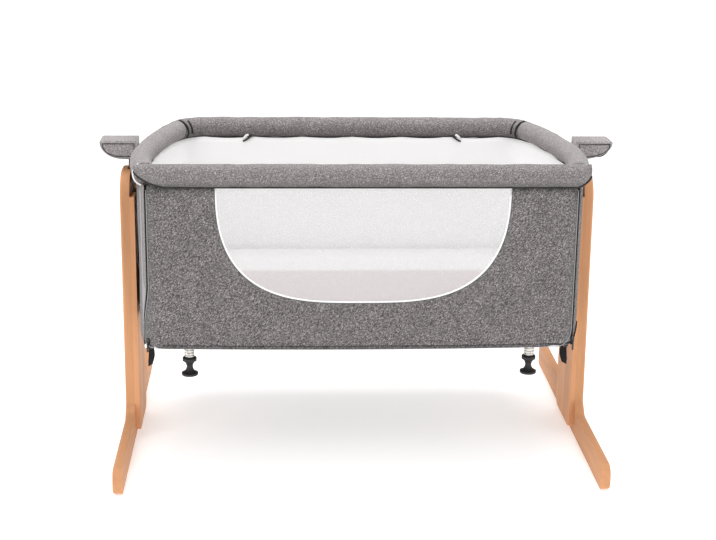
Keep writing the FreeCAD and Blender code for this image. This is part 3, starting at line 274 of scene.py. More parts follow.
def melange_cloth(name, amount, contrast=1.0, size=1.0, painted_shading=None):
    """Woven melange: pale slanting worms of yarn on a darker ground; the last argument shifts the
    tone with painted light and shade.
    """
    base = scaled(colour_of("cloth"), amount)
    finish = Finish(name, roughness=0.92, sheen_weight=0.12, sheen_roughness=0.5)
    set_gloss(finish, 0.2)
    slanted = finish.place((2.1, 1.0, 1.0), (0.0, -0.75, 0.18))
    straight = finish.place()
    scale = sizes().fleck_scale / size
    worm = finish.grain(slanted, scale, 2.5, 0.62, 0.55)
    fleck = finish.grain(straight, scale * 1.9, 2.0, 0.6, 0.2)
    knot = finish.cells(slanted, scale * 0.62)
    patch = finish.grain(straight, 22.0, 2.0)
    mixed = worm * 0.75 + fleck * 0.25 + (patch - 0.5) * 0.05 - (knot - 0.42) * 0.06
    reach = 0.118 / contrast
    # painted light and shade added to the tone, used for the rails
    if painted_shading:
        mixed = mixed + painted_shading(finish)
    tone = finish.stretched_range(mixed, 0.5 - reach, 0.5 + reach)
    finish.set("Base Color", finish.ramp(
        tone, (0.0, scaled(base, 0.30)), (0.38, scaled(base, 0.72)),
        (0.66, scaled(base, 1.22)), (1.0, scaled(base, 2.5))))
    thread = finish.grain(straight, 1500.0, 1.0)
    finish.bump(worm * 0.55 + fleck * 0.3 + thread * 0.15, 0.0010, 0.7)
    return finish.material


def painted_rail_shading(finish):
    """The rail's top is painted paler as a highlight, and its lower part darker as painted shade.
    """
    height = finish.axis(finish.place(), "Z")
    # painted highlight along the top of the rail
    painted_top_highlight = finish.stretched_range(height, RAIL_HEIGHT, RAIL_HEIGHT + 0.022)
    # painted shade: the tone falls by 0.10 towards the foot of the sleeve
    foot = finish.stretched_range(height, RAIL_HEIGHT - 0.021, RAIL_HEIGHT - 0.004)
    return painted_top_highlight * 0.015 + foot * 0.10 - 0.10


def ribbed(name, roughness, scale, detail, dark, pale, depth, strength, gloss=0.5,
           stretch=(1, 1, 1), turn=(0, 0, 0)):
    """Narrow woven goods: ribs of thread from dark to pale."""
    finish = Finish(name, roughness=roughness)
    set_gloss(finish, gloss)
    rib = finish.grain(finish.place(stretch, turn), scale, detail)
    finish.set("Base Color", finish.blend(rib, dark, pale))
    finish.bump(rib, depth, strength)
    return finish.material


def dark_tape():
    """Black woven tape with a ribbed face."""
    black = colour_of("tape")
    return ribbed("black_tape", 0.8, 1100.0, 1.0, scaled(black, 0.6), scaled(black, 1.7),
                  0.0004, 0.6, 0.2)


def white_cloth():
    """White cotton lining with a fine plain weave and a faint painted glow."""
    # painted light: a faint white glow, though the cloth is no lamp
    finish = Finish("white_cotton", roughness=0.9, sheen_weight=0.1,
                    emission_color=(1.0, 1.0, 1.0, 1.0), emission_strength=0.07)
    where = finish.place()
    slub = finish.grain(where, 900.0, 2.0)
    soft = finish.grain(where, 9.0, 2.0)
    white = colour_of("lining")
    finish.set("Base Color", finish.blend(soft, scaled(white, 0.985), white))
    finish.bump(slub, 0.0003, 0.35)
    return finish.material


def mattress_cloth():
    """Quilted cotton cover; its sides and the front half of its top are painted a darker, rosier
    grey: painted shade on the sides, painted shadow of the front rail and cloth on the top.
    """
    finish = Finish("mattress_cotton", roughness=0.88, sheen_weight=0.15)
    where = finish.place()
    loops = finish.cells(where, 260.0)
    soft = finish.grain(where, 14.0, 3.0)
    warm = colour_of("mattress")
    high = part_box("mattress")[1]
    # 1 on the lit rear half of the top; the sides and the front half get the painted shade colour
    top = (finish.stretched_range(finish.axis(where, "Z"), high.z - 0.014, high.z - 0.009)
           * finish.stretched_range(finish.axis(where, "Y"), 0.006, 0.026))
    cover = finish.blend(soft, scaled(warm, 0.97), scaled(warm, 1.02))
    finish.set("Base Color", finish.blend(top, colour_of("gusset"), cover))
    finish.bump(loops, 0.0006, 0.5)
    return finish.material


def mesh_cloth():
    """Fine white mesh: thin yarns round small open cells."""
    finish = Finish("white_mesh", roughness=0.8)
    where = finish.place((1.0, 5.0, 1.0))
    cell = finish.cells(where, sizes().mesh_scale)
    yarn = finish.stretched_range(cell, 0.12, 0.46)
    white = colour_of("mesh")
    finish.set("Base Color", finish.blend(yarn, scaled(white, 0.96), white))
    finish.set("Alpha", yarn * 0.30 + 0.22)
    return finish.material


def beech(name, long_axis, shade=1.0):
    """Oiled beech: broad bands, fine pores and small darker flecks along the grain; a shade above
    one lightens it as painted light.
    """
    wood = scaled(colour_of("wood"), shade)
    finish = Finish(name, roughness=0.55)
    set_gloss(finish, 0.22)
    stretch = [1.0, 1.0, 1.0]
    stretch[long_axis] = 11.0
    where = finish.place(tuple(stretch))
    fine = list(stretch)
    fine[long_axis] = 28.0
    narrow = finish.place(tuple(fine))
    band = finish.grain(where, 26.0, 4.0, 0.55, 0.6)
    pore = finish.grain(narrow, 420.0, 2.0, 0.6)
    fleck = finish.cells(narrow, 240.0)
    tone = finish.ramp(finish.stretched_range(band, 0.30, 0.72), (0.0, scaled(wood, 0.86)),
                       (0.5, wood), (1.0, scaled(wood, 1.13)))
    dark = finish.stretched_range(pore, 0.60, 0.74) * 0.28
    tone = finish.blend(dark, tone, scaled(wood, 0.58))
    speck = finish.stretched_range(0.16 - fleck, 0.0, 0.10) * 0.30
    finish.set("Base Color", finish.blend(speck, tone, scaled(wood, 0.55)))
    finish.set("Roughness", 0.50 + pore * 0.16)
    finish.bump(pore * 0.7 + band * 0.3, 0.00025, 0.30)
    return finish.material


def moulded(name, colour, roughness=0.5):
    """Moulded plastic with a fine spark-eroded skin."""
    colour = colour_of(colour)
    finish = Finish(name)
    where = finish.place()
    skin = finish.grain(where, 1400.0, 2.0)
    cloud = finish.grain(where, 40.0, 2.0)
    finish.set("Base Color", finish.blend(cloud, scaled(colour, 0.85), scaled(colour, 1.15)))
    finish.set("Roughness", roughness - 0.06 + cloud * 0.12)
    finish.bump(skin, 0.00012, 0.35)
    return finish.material


def coated(name, colour, roughness):
    """Powder-coated steel with a slight orange-peel."""
    finish = Finish(name)
    where = finish.place()
    peel = finish.grain(where, 520.0, 2.0)
    wear = finish.grain(where, 60.0, 3.0)
    finish.set("Base Color", finish.blend(wear, scaled(colour, 0.9), scaled(colour, 1.12)))
    finish.set("Roughness", roughness - 0.05 + wear * 0.1)
    finish.bump(peel, 0.0002, 0.3)
    return finish.material


def plated():
    """Bright nickel plate with faint turning marks and patches of wear."""
    finish = Finish("nickel_plate", metallic=1.0)
    where = finish.place((1.0, 1.0, 0.12))
    turning = finish.grain(where, 300.0, 2.0)
    stain = finish.grain(finish.place(), 120.0, 3.0)
    finish.set("Base Color", finish.ramp(
        stain, (0.3, (0.42, 0.40, 0.37)), (0.62, (0.82, 0.80, 0.76))))
    finish.set("Roughness", 0.20 + stain * 0.16)
    finish.bump(turning, 0.00015, 0.3)
    return finish.material


def rubber():
    """Black rubber with a fine bloom."""
    finish = Finish("black_rubber")
    where = finish.place()
    bloom = finish.grain(where, 90.0, 3.0)
    skin = finish.grain(where, 900.0, 2.0)
    finish.set("Base Color", finish.blend(bloom, (0.008, 0.008, 0.008), (0.022, 0.021, 0.02)))
    finish.set("Roughness", 0.42 + bloom * 0.2)
    finish.bump(skin, 0.0002, 0.3)
    return finish.material


def fibreboard():
    """Plain fibreboard with short pale fibres."""
    finish = Finish("fibreboard", roughness=0.8)
    where = finish.place((1.0, 2.5, 1.0))
    fibre = finish.grain(where, 380.0, 4.0, 0.7)
    finish.set("Base Color", finish.ramp(
        fibre, (0.35, (0.36, 0.26, 0.16)), (0.65, (0.60, 0.47, 0.32))))
    finish.bump(fibre, 0.0003, 0.4)
    return finish.material


def studio_floor():
    finish = Finish("studio_floor", roughness=0.9, emission_color=(1.0, 1.0, 1.0, 1.0),
                    emission_strength=0.42)
    where = finish.place()
    haze = finish.grain(where, 0.6, 2.0)
    finish.set("Base Color", finish.blend(haze, (0.93, 0.93, 0.93), (0.95, 0.95, 0.95)))
    return finish.material


FINISH_MAKERS = {
    # the rail cloth carries painted shade low on the sleeves and a painted highlight on top
    "rail_cloth": (melange_cloth, "rail_melange", 1.34, 0.68, 0.9, painted_rail_shading),
    "side_cloth": (melange_cloth, "side_melange", 1.78, 0.5, 0.9),
    "wall_cloth": (melange_cloth, "wall_melange", 1.0),
    "handle_cloth": (melange_cloth, "handle_melange", 2.05, 0.55, 0.9),
    # lighter copy of the cloth for the left corner strip: painted light where the light falls
    "strip_cloth": (melange_cloth, "strip_melange", 1.9, 0.4, 0.8),
    # dark cord for real seams and stitching, also laid as painted shade in creases and folds
    "seam_and_shade_cloth": (ribbed, "dark_binding", 0.9, 700.0, 2.0, (0.012, 0.011, 0.011),
                   (0.040, 0.037, 0.037), 0.0004, 0.5),
    "pale_cord": (ribbed, "pale_piping", 0.85, 520.0, 2.0, (0.22, 0.21, 0.22),
                  (0.50, 0.49, 0.50), 0.0005, 0.6, 0.5, (1.0, 1.0, 0.5), (0.0, 0.7, 0.0)),
    "white_cloth": (white_cloth,), "mattress_cloth": (mattress_cloth,),
    "mesh_cloth": (mesh_cloth,), "dark_tape": (dark_tape,),
    # the inner boards, facing away from the light, are lightened by 1.12 as painted light
    "beech_upright": (beech, "beech_upright", 2), "beech_inner": (beech, "beech_inner", 2, 1.12),
    "beech_beam": (beech, "beech_beam", 1),
    "black_plastic": (moulded, "black_plastic", "plastic", 0.5),
    "brown_plastic": (moulded, "brown_plastic", "guide", 0.55),
    "nylon": (moulded, "nylon", (0.62, 0.60, 0.55), 0.45),
    "black_steel": (coated, "black_coated_steel", (0.022, 0.022, 0.024), 0.42),
    "brown_steel": (coated, "brown_coated_steel", (0.19, 0.062, 0.026), 0.55),
    "grey_steel": (coated, "grey_coated_steel", (0.20, 0.20, 0.21), 0.45),
    "plated": (plated,), "rubber": (rubber,), "fibreboard": (fibreboard,),
    "studio_floor": (studio_floor,),
}


# ---- plan of the basket --------------------------------------------------------------
def corner_centre(side, offset, radius):
    """Centre of the arc that joins the bowed end to the front (-1) or the back (+1)."""
    depth = side * (RAIL_DEPTH + offset - radius)
    span = (BOW_RADIUS + offset - radius) ** 2 - (depth - BOW_CENTRE.y) ** 2
    return Vector((BOW_CENTRE.x + math.sqrt(span), depth))


def end_arcs(offset, front_depth=None, front_radius=None):
    """Arcs round the right end, front to back: centre, radius, first and last angle."""
    back_radius = BACK_CORNER + offset
    back = corner_centre(1, offset, back_radius)
    towards = back - BOW_CENTRE
    last = math.atan2(towards.y, towards.x)
    arcs = []
    if front_radius:
        front = corner_centre(-1, offset, front_radius)
        towards = front - BOW_CENTRE
        first = math.atan2(towards.y, towards.x)
        arcs.append((front, front_radius, -math.pi / 2, first))
    else:
        first = math.asin((front_depth - BOW_CENTRE.y) / (BOW_RADIUS + offset))
    arcs.append((BOW_CENTRE, BOW_RADIUS + offset, first, last))
    arcs.append((back, back_radius, last, math.pi / 2))
    return arcs


def walk(arcs, share):
    """Point and outward angle at a share of the way along the arcs."""
    lengths = [radius * (end - start) for _, radius, start, end in arcs]
    left = share * sum(lengths)
    for (centre, radius, start, end), length in zip(arcs, lengths):
        if left <= length or (centre, radius, start, end) == arcs[-1]:
            turn = start + left / radius
            return centre + radius * Vector((math.cos(turn), math.sin(turn))), turn
        left -= length


def run_length(arcs):
    return sum(radius * (end - start) for _, radius, start, end in arcs)


# ---- mesh helpers --------------------------------------------------------------------
RING_SEGMENTS = 40


def new_piece(name, bm, finish, body, smooth=True, subdivision=0, wall=0.0,
              wall_side=-1.0):
    """Turns a bmesh into a finished object that rides on a body."""
    mesh = bpy.data.meshes.new(name)
    for face in bm.faces:
        face.smooth = smooth
    bm.to_mesh(mesh)
    bm.free()
    mesh.materials.append(finish_of(finish))
    obj = bpy.data.objects.new(name, mesh)
    bpy.context.scene.collection.objects.link(obj)
    if wall:
        skin = obj.modifiers.new("wall", "SOLIDIFY")
        skin.thickness = wall
        skin.offset = wall_side
    if subdivision:
        soft = obj.modifiers.new("soft", "SUBSURF")
        soft.levels = subdivision
        soft.render_levels = subdivision
    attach(obj, body)
    return obj


def dress(finish, *nodes):
    """Gives CAD nodes their finish."""
    for name in nodes:
        materials = frame["nodes"][name].data.materials
        materials.clear()
        materials.append(finish_of(finish))


def pair(name):
    return ["right_" + name, "left_" + name]


def sheet_mesh(along, up, place):
    """A grid laid out by place(share along, share up)."""
    bm = bmesh.new()
    bmesh.ops.create_grid(bm, x_segments=along, y_segments=up, size=0.5)
    for vert in bm.verts:
        vert.co = place(vert.co.x + 0.5, vert.co.y + 0.5)
    bm.normal_update()
    return bm


def station(x, y, z, turn, scale=1.0):
    """Frame of a swept ring: its local X points outwards at the angle turn."""
    return (Matrix.Translation((x, y, z)) @ Matrix.Rotation(turn, 4, "Z")
            @ Matrix.Diagonal((scale, 1.0, scale, 1.0)))


def swept_ring(radius, stations):
    """A closed ring extruded through the stations, whose scale shapes it, and capped."""
    bm = bmesh.new()
    ring = bmesh.ops.create_circle(bm, radius=radius, segments=RING_SEGMENTS,
                                   matrix=Matrix.Rotation(math.pi / 2, 4, "X"))["verts"]
    edges = list({edge for vert in ring for edge in vert.link_edges})
    bmesh.ops.transform(bm, matrix=stations[0], verts=ring)
    bmesh.ops.contextual_create(bm, geom=edges)
    for before, after in zip(stations, stations[1:]):
        made = bmesh.ops.extrude_edge_only(bm, edges=edges)["geom"]
        ring = [item for item in made if isinstance(item, bmesh.types.BMVert)]
        fresh = set(ring)
        edges = list({edge for vert in ring for edge in vert.link_edges
                      if edge.verts[0] in fresh and edge.verts[1] in fresh})
        bmesh.ops.transform(bm, matrix=after @ before.inverted(), verts=ring)
    bmesh.ops.contextual_create(bm, geom=edges)
    bmesh.ops.recalc_face_normals(bm, faces=bm.faces)
    bm.normal_update()
    return bm


def smooth_step(value):
    value = min(1.0, max(0.0, value))
    return value * value * (3 - 2 * value)


def piping(name, points, radius, finish, body, closed=False):
    """Round cord sewn along a line of points."""
    curve = bpy.data.curves.new(name, "CURVE")
    curve.dimensions = "3D"
    curve.bevel_depth = radius
    curve.bevel_resolution = 2
    curve.use_fill_caps = not closed
    spline = curve.splines.new("POLY")
    spline.points.add(len(points) - 1)
    for knot, point in zip(spline.points, points):
        knot.co = (*point, 1.0)
    spline.use_cyclic_u = closed
    line = bpy.data.objects.new(name + "_line", curve)
    bpy.context.scene.collection.objects.link(line)
    graph = bpy.context.evaluated_depsgraph_get()
    bm = bmesh.new()
    bm.from_mesh(line.evaluated_get(graph).to_mesh())
    bpy.data.objects.remove(line)
    bpy.data.curves.remove(curve)
    bmesh.ops.remove_doubles(bm, verts=bm.verts, dist=1e-6)
    bmesh.ops.recalc_face_normals(bm, faces=bm.faces)
    return new_piece(name, bm, finish, body)


def rumple(bm, depth, size, seed):
    """Small soft unevenness along the normals."""
    shift = Vector((seed * 7.3, seed * 3.1, seed * 5.7))
    moves = []
    for vert in bm.verts:
        where = vert.co / size
        lump = noise.noise(where + shift) + 0.4 * noise.noise(where * 2.7 + shift)
        moves.append(vert.normal * depth * lump)
    for vert, move in zip(bm.verts, moves):
        vert.co += move
    bm.normal_update()


def line(count, place):
    """What place(share) gives at count + 1 even shares from 0 to 1."""
    return [place(i / count) for i in range(count + 1)]


def face_area(bm):
    return sum(face.calc_area() for face in bm.faces)


def flip_side(bm):
    """Mirror image at the left end, facing outwards again."""
    bmesh.ops.scale(bm, vec=(-1, 1, 1), verts=bm.verts)
    bmesh.ops.reverse_faces(bm, faces=bm.faces)
    bm.normal_update()
    return bm


# ---- padded rail sleeves -------------------------------------------------------------
# first angle and share, last angle and share, radius of the cord; each cord is dark, laid as
# painted shade in a gather's crease
GATHERS = ((80, -0.06, -52, 0.20, 0.0027), (58, 0.30, -24, 0.42, 0.0023))


def sleeve_height():
    return RAIL_HEIGHT + SLEEVE_RISE


def side_arcs():
    return end_arcs(0.0, front_depth=SIDE_FRONT_DEPTH)


def side_point(share):
    """Point and outward angle on the end rail's line, drawn in a little towards the back."""
    point, turn = walk(side_arcs(), share)
    pull = SIDE_PULL * smooth_step((point.y + 0.13) / 0.19)
    return Vector((point.x - pull, point.y)), turn


def seam_share():
    """Where the end sleeve meets the back sleeve."""
    return 1 - BACK_CORNER * BACK_SEAM_TURN / run_length(side_arcs())


def side_sleeve(side):
    """Sleeve from the front corner round the bowed end to the back rail."""
    def place(share):
        point, turn = side_point(share * seam_share())
        swell = 1.0 + 0.012 * math.sin(share * 40.0 + 1.3 * side) * math.sin(share * 17.0)
        swell += 0.06 * smooth_step(1 - share * 5)
        return station(point.x, point.y, sleeve_height(), turn, swell)

    bm = swept_ring(SIDE_RADIUS, line(90, place))
    rumple(bm, 0.0011, 0.030, 11 + side)
    return bm if side > 0 else flip_side(bm)


def back_sleeve():
    """Sleeve of the back rail, carried round both corners."""
    full = sizes().sleeve_radius
    first = seam_share()

    def turned(share):
        point, turn = side_point(first + (1 - first) * share)
        return point, turn, (SIDE_RADIUS + (full - SIDE_RADIUS) * share) / full

    corner = line(20, turned)
    stations = [station(point.x, point.y, sleeve_height(), turn, scale)
                for point, turn, scale in corner]
    end = corner[-1][0].x
    for i in range(1, 90):
        x = end - 2 * end * i / 90
        swell = 1.0 + 0.010 * math.sin(x * 61.0) * math.sin(x * 23.0 + 1.0)
        stations.append(station(x, RAIL_DEPTH, sleeve_height(), math.pi / 2, swell))
    stations += [station(-point.x, point.y, sleeve_height(), math.pi - turn, scale)
                 for point, turn, scale in reversed(corner)]
    bm = swept_ring(full, stations)
    rumple(bm, 0.0012, 0.028, 3)
    return bm


def tip_section(x):
    """Centre depth, centre height and radius of the front sleeve at x: its ends draw in."""
    radius = sizes().sleeve_radius
    side = 1 if x > 0 else -1
    past = abs(x) - (SLEEVE_HIGH.x - TIP_LENGTH[side])
    if past <= 0:
        return -RAIL_DEPTH, sleeve_height(), radius
    share = min(0.985, past / TIP_LENGTH[side])
    shrink = 1 - (1 - share ** 1.8) ** 0.55
    drawn = (radius - TIP_RADIUS[side]) * shrink
    lift = TIP_LIFT[side] * drawn
    return -RAIL_DEPTH + drawn * 0.5, sleeve_height() + lift, radius - drawn


def front_sleeve():
    """Sleeve of the front rail; its ends draw in, the left one further, up and back."""
    def tip(side):
        return line(18, lambda share: SLEEVE_HIGH.x - TIP_LENGTH[side]
                    * (1 - math.sin(math.pi / 2 * share)))

    left, right = [-x for x in reversed(tip(-1))], tip(1)
    start, end = left[-1], right[0]
    middle = [start + (end - start) * i / 100 for i in range(1, 100)]
    full = sizes().sleeve_radius
    stations = []
    for x in left + middle + right:
        depth, height, radius = tip_section(x)
        swell = 1.0 + 0.008 * math.sin(x * 61.0) * math.sin(x * 23.0 + 1.0)
        stations.append(station(x, depth, height, -math.pi / 2, swell * radius / full))
    bm = swept_ring(full, stations)
    rumple(bm, 0.0010, 0.030, 5)
    return bm


def under_sleeve_shade_points():
    """Line along the foot of the front sleeve, where the cloth wall is sewn on; the dark cord laid
    there is painted shade in the crease under the sleeve.
    """
    def place(share):
        x = (SLEEVE_HIGH.x - 0.0015) * math.sin(math.pi * (share - 0.5))
        depth, height, radius = tip_section(x)
        tip = TIP_LENGTH[1 if x > 0 else -1]
        past = max(0.0, abs(x) - (SLEEVE_HIGH.x - tip)) / tip
        angle = math.radians(26.0 + 36.0 * past)
        return x, depth - radius * math.sin(angle), height - radius * math.cos(angle)

    return line(160, place)


def rim_highlight_points(side):
    """Outer half of the end sleeve's rim, where it opens towards the front rail; a white cord there
    is a painted highlight along the rim.
    """
    point, turn = side_point(0.0)
    out = Vector((math.cos(turn), math.sin(turn)))
    radius = SIDE_RADIUS * 1.07

    def place(share):
        angle = math.radians(-80 + 140 * share)
        reach = point + out * radius * math.cos(angle)
        return side * reach.x, reach.y - 0.001, sleeve_height() + radius * math.sin(angle)

    return line(24, place)


def gather_points(side, high, first, low, last):
    """Line down a gather on the crib side of the back corner, where a dark cord is painted shade in
    the crease.
    """
    seam = seam_share()
    radius = SIDE_RADIUS + 0.0004

    def place(share):
        angle = math.radians(high + (low - high) * share)
        point, turn = side_point(seam + (1 - seam) * (first + (last - first) * share))
        reach = point - Vector((math.cos(turn), math.sin(turn))) * radius * math.cos(angle)
        return side * reach.x, reach.y, sleeve_height() + radius * math.sin(angle)

    return line(14, place)


# ---- properties ----------------------------------------------------------------------
def metres(name, description, default):
    return bpy.props.FloatProperty(name=name, description=description, default=default,
                                   unit="LENGTH")


def tint(name, description, default):
    return bpy.props.FloatVectorProperty(name=name, description=description, default=default,
                                         subtype="COLOR", size=3, min=0, max=1)


class CribSizes(bpy.types.PropertyGroup):
    """Sizes a user would change."""

    sleeve_radius: metres("Sleeve radius", "Outside radius of the padded rails",
                          (SLEEVE_HIGH.z - SLEEVE_LOW.z) / 2 - 0.0009)
    window_half_width: metres("Window half width", "Half the mesh window's width at the rail",
                              0.2915)
    window_drop: metres("Window drop", "Height of the mesh window", 0.233)
    hem_width: metres("Hem width", "Width of the turned hem round the window", 0.007)
    binding_width: metres("Binding width", "White binding inside the window's edge", 0.0036)
    tooth_pitch: metres("Tooth pitch", "Distance between the zip's teeth", 0.0028)
    fleck_scale: bpy.props.FloatProperty(
        name="Fleck scale", description="Flecks of the melange cloth per metre", default=560.0)
    mesh_scale: bpy.props.FloatProperty(
        name="Mesh scale", description="Cells of the mesh per metre", default=620.0)


class CribColours(bpy.types.PropertyGroup):
    """Colours a user would change."""

    cloth: tint("Cloth", "Grey melange cloth", (0.168, 0.155, 0.155))
    lining: tint("Lining", "White lining", (0.985, 0.985, 0.985))
    mattress: tint("Mattress", "Mattress cover", (0.66, 0.645, 0.65))
    # painted shade of the mattress: its sides and the front half of its top
    gusset: tint("Gusset", "Side of the mattress cover", (0.50, 0.43, 0.43))
    mesh: tint("Mesh", "Window mesh", (0.63, 0.62, 0.625))
    wood: tint("Wood", "Oiled beech", (0.66, 0.325, 0.16))
    plastic: tint("Plastic", "Black moulded parts", (0.018, 0.018, 0.019))
    guide: tint("Guide", "Brown moulded guides", (0.20, 0.065, 0.025))
    tape: tint("Tape", "Black tape and zips", (0.011, 0.010, 0.010))


# ---- operators -----------------------------------------------------------------------
class CRIB_OT_woodwork(bpy.types.Operator):
    """Oils the beech posts and foot beams"""

    bl_idname = "crib.woodwork"
    bl_label = "Woodwork"

    def execute(self, context):
        dress("beech_upright", *pair("post_outer_board"))
        dress("beech_inner", *pair("post_inner_board"))
        dress("beech_beam", *pair("foot_beam"))
        return {"FINISHED"}


class CRIB_OT_metalwork(bpy.types.Operator):
    """Coats the steel tubes and plates the fasteners"""

    bl_idname = "crib.metalwork"
    bl_label = "Metalwork"

    def execute(self, context):
        dress("black_steel", *pair("release_rod"), "lift_brackets")
        dress("brown_steel", *pair("guide_channel"), *pair("lift_column"))
        dress("grey_steel", *pair("rail_tube"), "back_rail_tube", "front_rail_tube", "base_frame",
              "corner_uprights")
        dress("plated", *pair("post_fasteners"), *pair("lock_pin"), *pair("release_spring"),
              *pair("latch_plunger"), "bracket_bolts")
        return {"FINISHED"}


class CRIB_OT_mouldings(bpy.types.Operator):
    """Finishes the moulded and rubber parts and the base board"""

    bl_idname = "crib.mouldings"
    bl_label = "Mouldings"

    def execute(self, context):
        dress("black_plastic", "lock_housings", "slide_carriages", "strap_buckles",
              *pair("handle_core"), *pair("zip_slider"))
        dress("brown_plastic", *pair("top_guide"))
        dress("nylon", "glide_pads")
        dress("rubber", *pair("floor_pads"), "foot_rubbers")
        dress("fibreboard", "base_board")
        return {"FINISHED"}


class CRIB_OT_rail_sleeves(bpy.types.Operator):
    """Pads the four rails with melange sleeves"""

    bl_idname = "crib.rail_sleeves"
    bl_label = "Rail sleeves"

    def execute(self, context):
        for side, label in SIDES:
            sleeve = new_piece(label + "_sleeve", side_sleeve(side), "side_cloth", "basket",
                               subdivision=1)
            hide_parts(label + "_rail_cover")
            # painted highlight: a white cord where the sleeve's rim catches the light
            piping(label + "_sleeve_rim", rim_highlight_points(side), 0.0015, "white_cloth", "basket")
            for number, (*course, radius) in enumerate(GATHERS):
                # painted shade: dark cords in the creases of the gathers
                piping("%s_gather_%d" % (label, number), gather_points(side, *course), radius,
                       "seam_and_shade_cloth", "basket")
        back = new_piece("back_sleeve", back_sleeve(), "rail_cloth", "basket",
                         subdivision=1)
        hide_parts("back_rail_cover")
        front = new_piece("front_sleeve", front_sleeve(), "rail_cloth", "drop_rail",
                          subdivision=1)
        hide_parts("front_rail_cover")
        # painted shade: a dark cord in the crease under the front sleeve
        piping("under_seam", under_sleeve_shade_points(), 0.0025, "seam_and_shade_cloth", "drop_rail")
        return {"FINISHED"}


WING_TIP_ROUND = 0.0040
WING_INNER_REACH = 0.0125    # the cover reaches this far over the lift column
WING_LONG = {1: 2.0, -1: 1.35}    # how much longer than tall the round underneath is
WING_FACE = ((0.0120, 0.0001), (0.0078, 0.0006), (0.0066, 0.0017), (0.0054, 0.0007),
             (0.0036, 0.0004), (0.0018, 0.0012), (0.0006, 0.0028), (0.0, 0.0052))


def wing_outline(inset, depth, side):
    """Half-moon in the XZ plane: flat on top, rounded underneath."""
    tall = WING_HIGH.z - WING_LOW.z - 2 * inset
    wide = (WING_HIGH.x - WING_LOW.x + WING_INNER_REACH - 2 * inset) / WING_LONG[side]
    bm = bmesh.new()
    verts = [bm.verts.new((x, depth, z)) for x, z in ((0, 0), (wide, 0), (wide, tall), (0, tall))]
    bm.faces.new(verts)
    tip = max(WING_TIP_ROUND - inset * 0.5, 0.001)
    bmesh.ops.bevel(bm, geom=[verts[2]], offset=tip, segments=4, profile=0.5,
                    affect="VERTICES", material=-1)
    corner = Vector((wide, depth, 0))
    foot = min(bm.verts, key=lambda v: (v.co - corner).length)
    bmesh.ops.bevel(bm, geom=[foot], offset=min(tall - tip, wide) - 0.0006, segments=16,
                    profile=0.5, affect="VERTICES", material=-1)
    bmesh.ops.scale(bm, vec=(WING_LONG[side], 1, 1), verts=bm.verts)
    bmesh.ops.translate(bm, verts=bm.verts,
                        vec=(WING_LOW.x - WING_INNER_REACH + inset, 0, WING_LOW.z + inset))
    bm.faces.ensure_lookup_table()
    points = [vert.co.copy() for vert in bm.faces[0].verts]
    bm.free()
    return points


def handle_wing(side):
    """Padded wing: outlines bridged from face to face, with a sewn border on both."""
    sections = [(inset, WING_LOW.y + deep) for inset, deep in WING_FACE]
    sections += [(inset, WING_HIGH.y - deep) for inset, deep in reversed(WING_FACE)]
    bm = bmesh.new()
    before = None
    for inset, depth in sections:
        verts = [bm.verts.new(point) for point in wing_outline(inset, depth, side)]
        edges = [bm.edges.new(two) for two in zip(verts, verts[1:] + verts[:1])]
        if before:
            bmesh.ops.bridge_loops(bm, edges=before + edges)
        else:
            bmesh.ops.contextual_create(bm, geom=edges)
        before = edges
    bmesh.ops.contextual_create(bm, geom=before)
    bmesh.ops.recalc_face_normals(bm, faces=bm.faces)
    return bm if side > 0 else flip_side(bm)


def wing_stitch_points(side, inset):
    """The sewn line on the wing's near face."""
    return [(side * point.x, point.y, point.z)
            for point in wing_outline(inset, WING_LOW.y + 0.0002, side)]


class CRIB_OT_handle_wings(bpy.types.Operator):
    """Covers both release handles with their padded wings"""

    bl_idname = "crib.handle_wings"
    bl_label = "Handle wings"

    def execute(self, context):
        for side, label in SIDES:
            wing = new_piece(label + "_wing", handle_wing(side), "handle_cloth",
                             "handle_" + label)
            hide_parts(label + "_handle_cover")
            piping(label + "_wing_border", wing_stitch_points(side, 0.0066), 0.0006, "seam_and_shade_cloth",
                   "handle_" + label, closed=True)
            piping(label + "_wing_edge", wing_stitch_points(side, 0.0040), 0.0006, "pale_cord",
                   "handle_" + label, closed=True)
        return {"FINISHED"}


# ---- cloth walls ---------------------------------------------------------------------
WALL_TUCK = 0.010    # the wall's top runs in and up behind the sleeve


def end_wall(side):
    """Cloth round one end, with soft waves below the rail."""
    arcs = end_arcs(CLOTH_OFFSET, front_depth=WALL_FRONT_DEPTH)

    def place(along, up):
        point, turn = walk(arcs, along)
        foot = WALL_FOOT_RISE[side] * max(0.0, 1 - along / 0.22) ** 1.5
        height = CLOTH_BOTTOM + foot + (CLOTH_TALL - foot) * up
        belly = math.sin(math.pi * up) * math.sin(math.pi * along)
        wave = (0.0012 * math.sin(along * 31.0 + side) * (1 - up)
                + 0.0010 * math.sin(up * 9.0 + along * 5.0))
        tuck = smooth_step((up - 0.945) / 0.055)
        out = wave * belly * 1.4 - 0.0006 - WALL_TUCK * tuck
        out = Vector((math.cos(turn), math.sin(turn))) * out
        return Vector((point.x + out.x, point.y + out.y, height + WALL_TUCK * tuck))

    bm = sheet_mesh(90, 36, place)
    return bm if side > 0 else flip_side(bm)


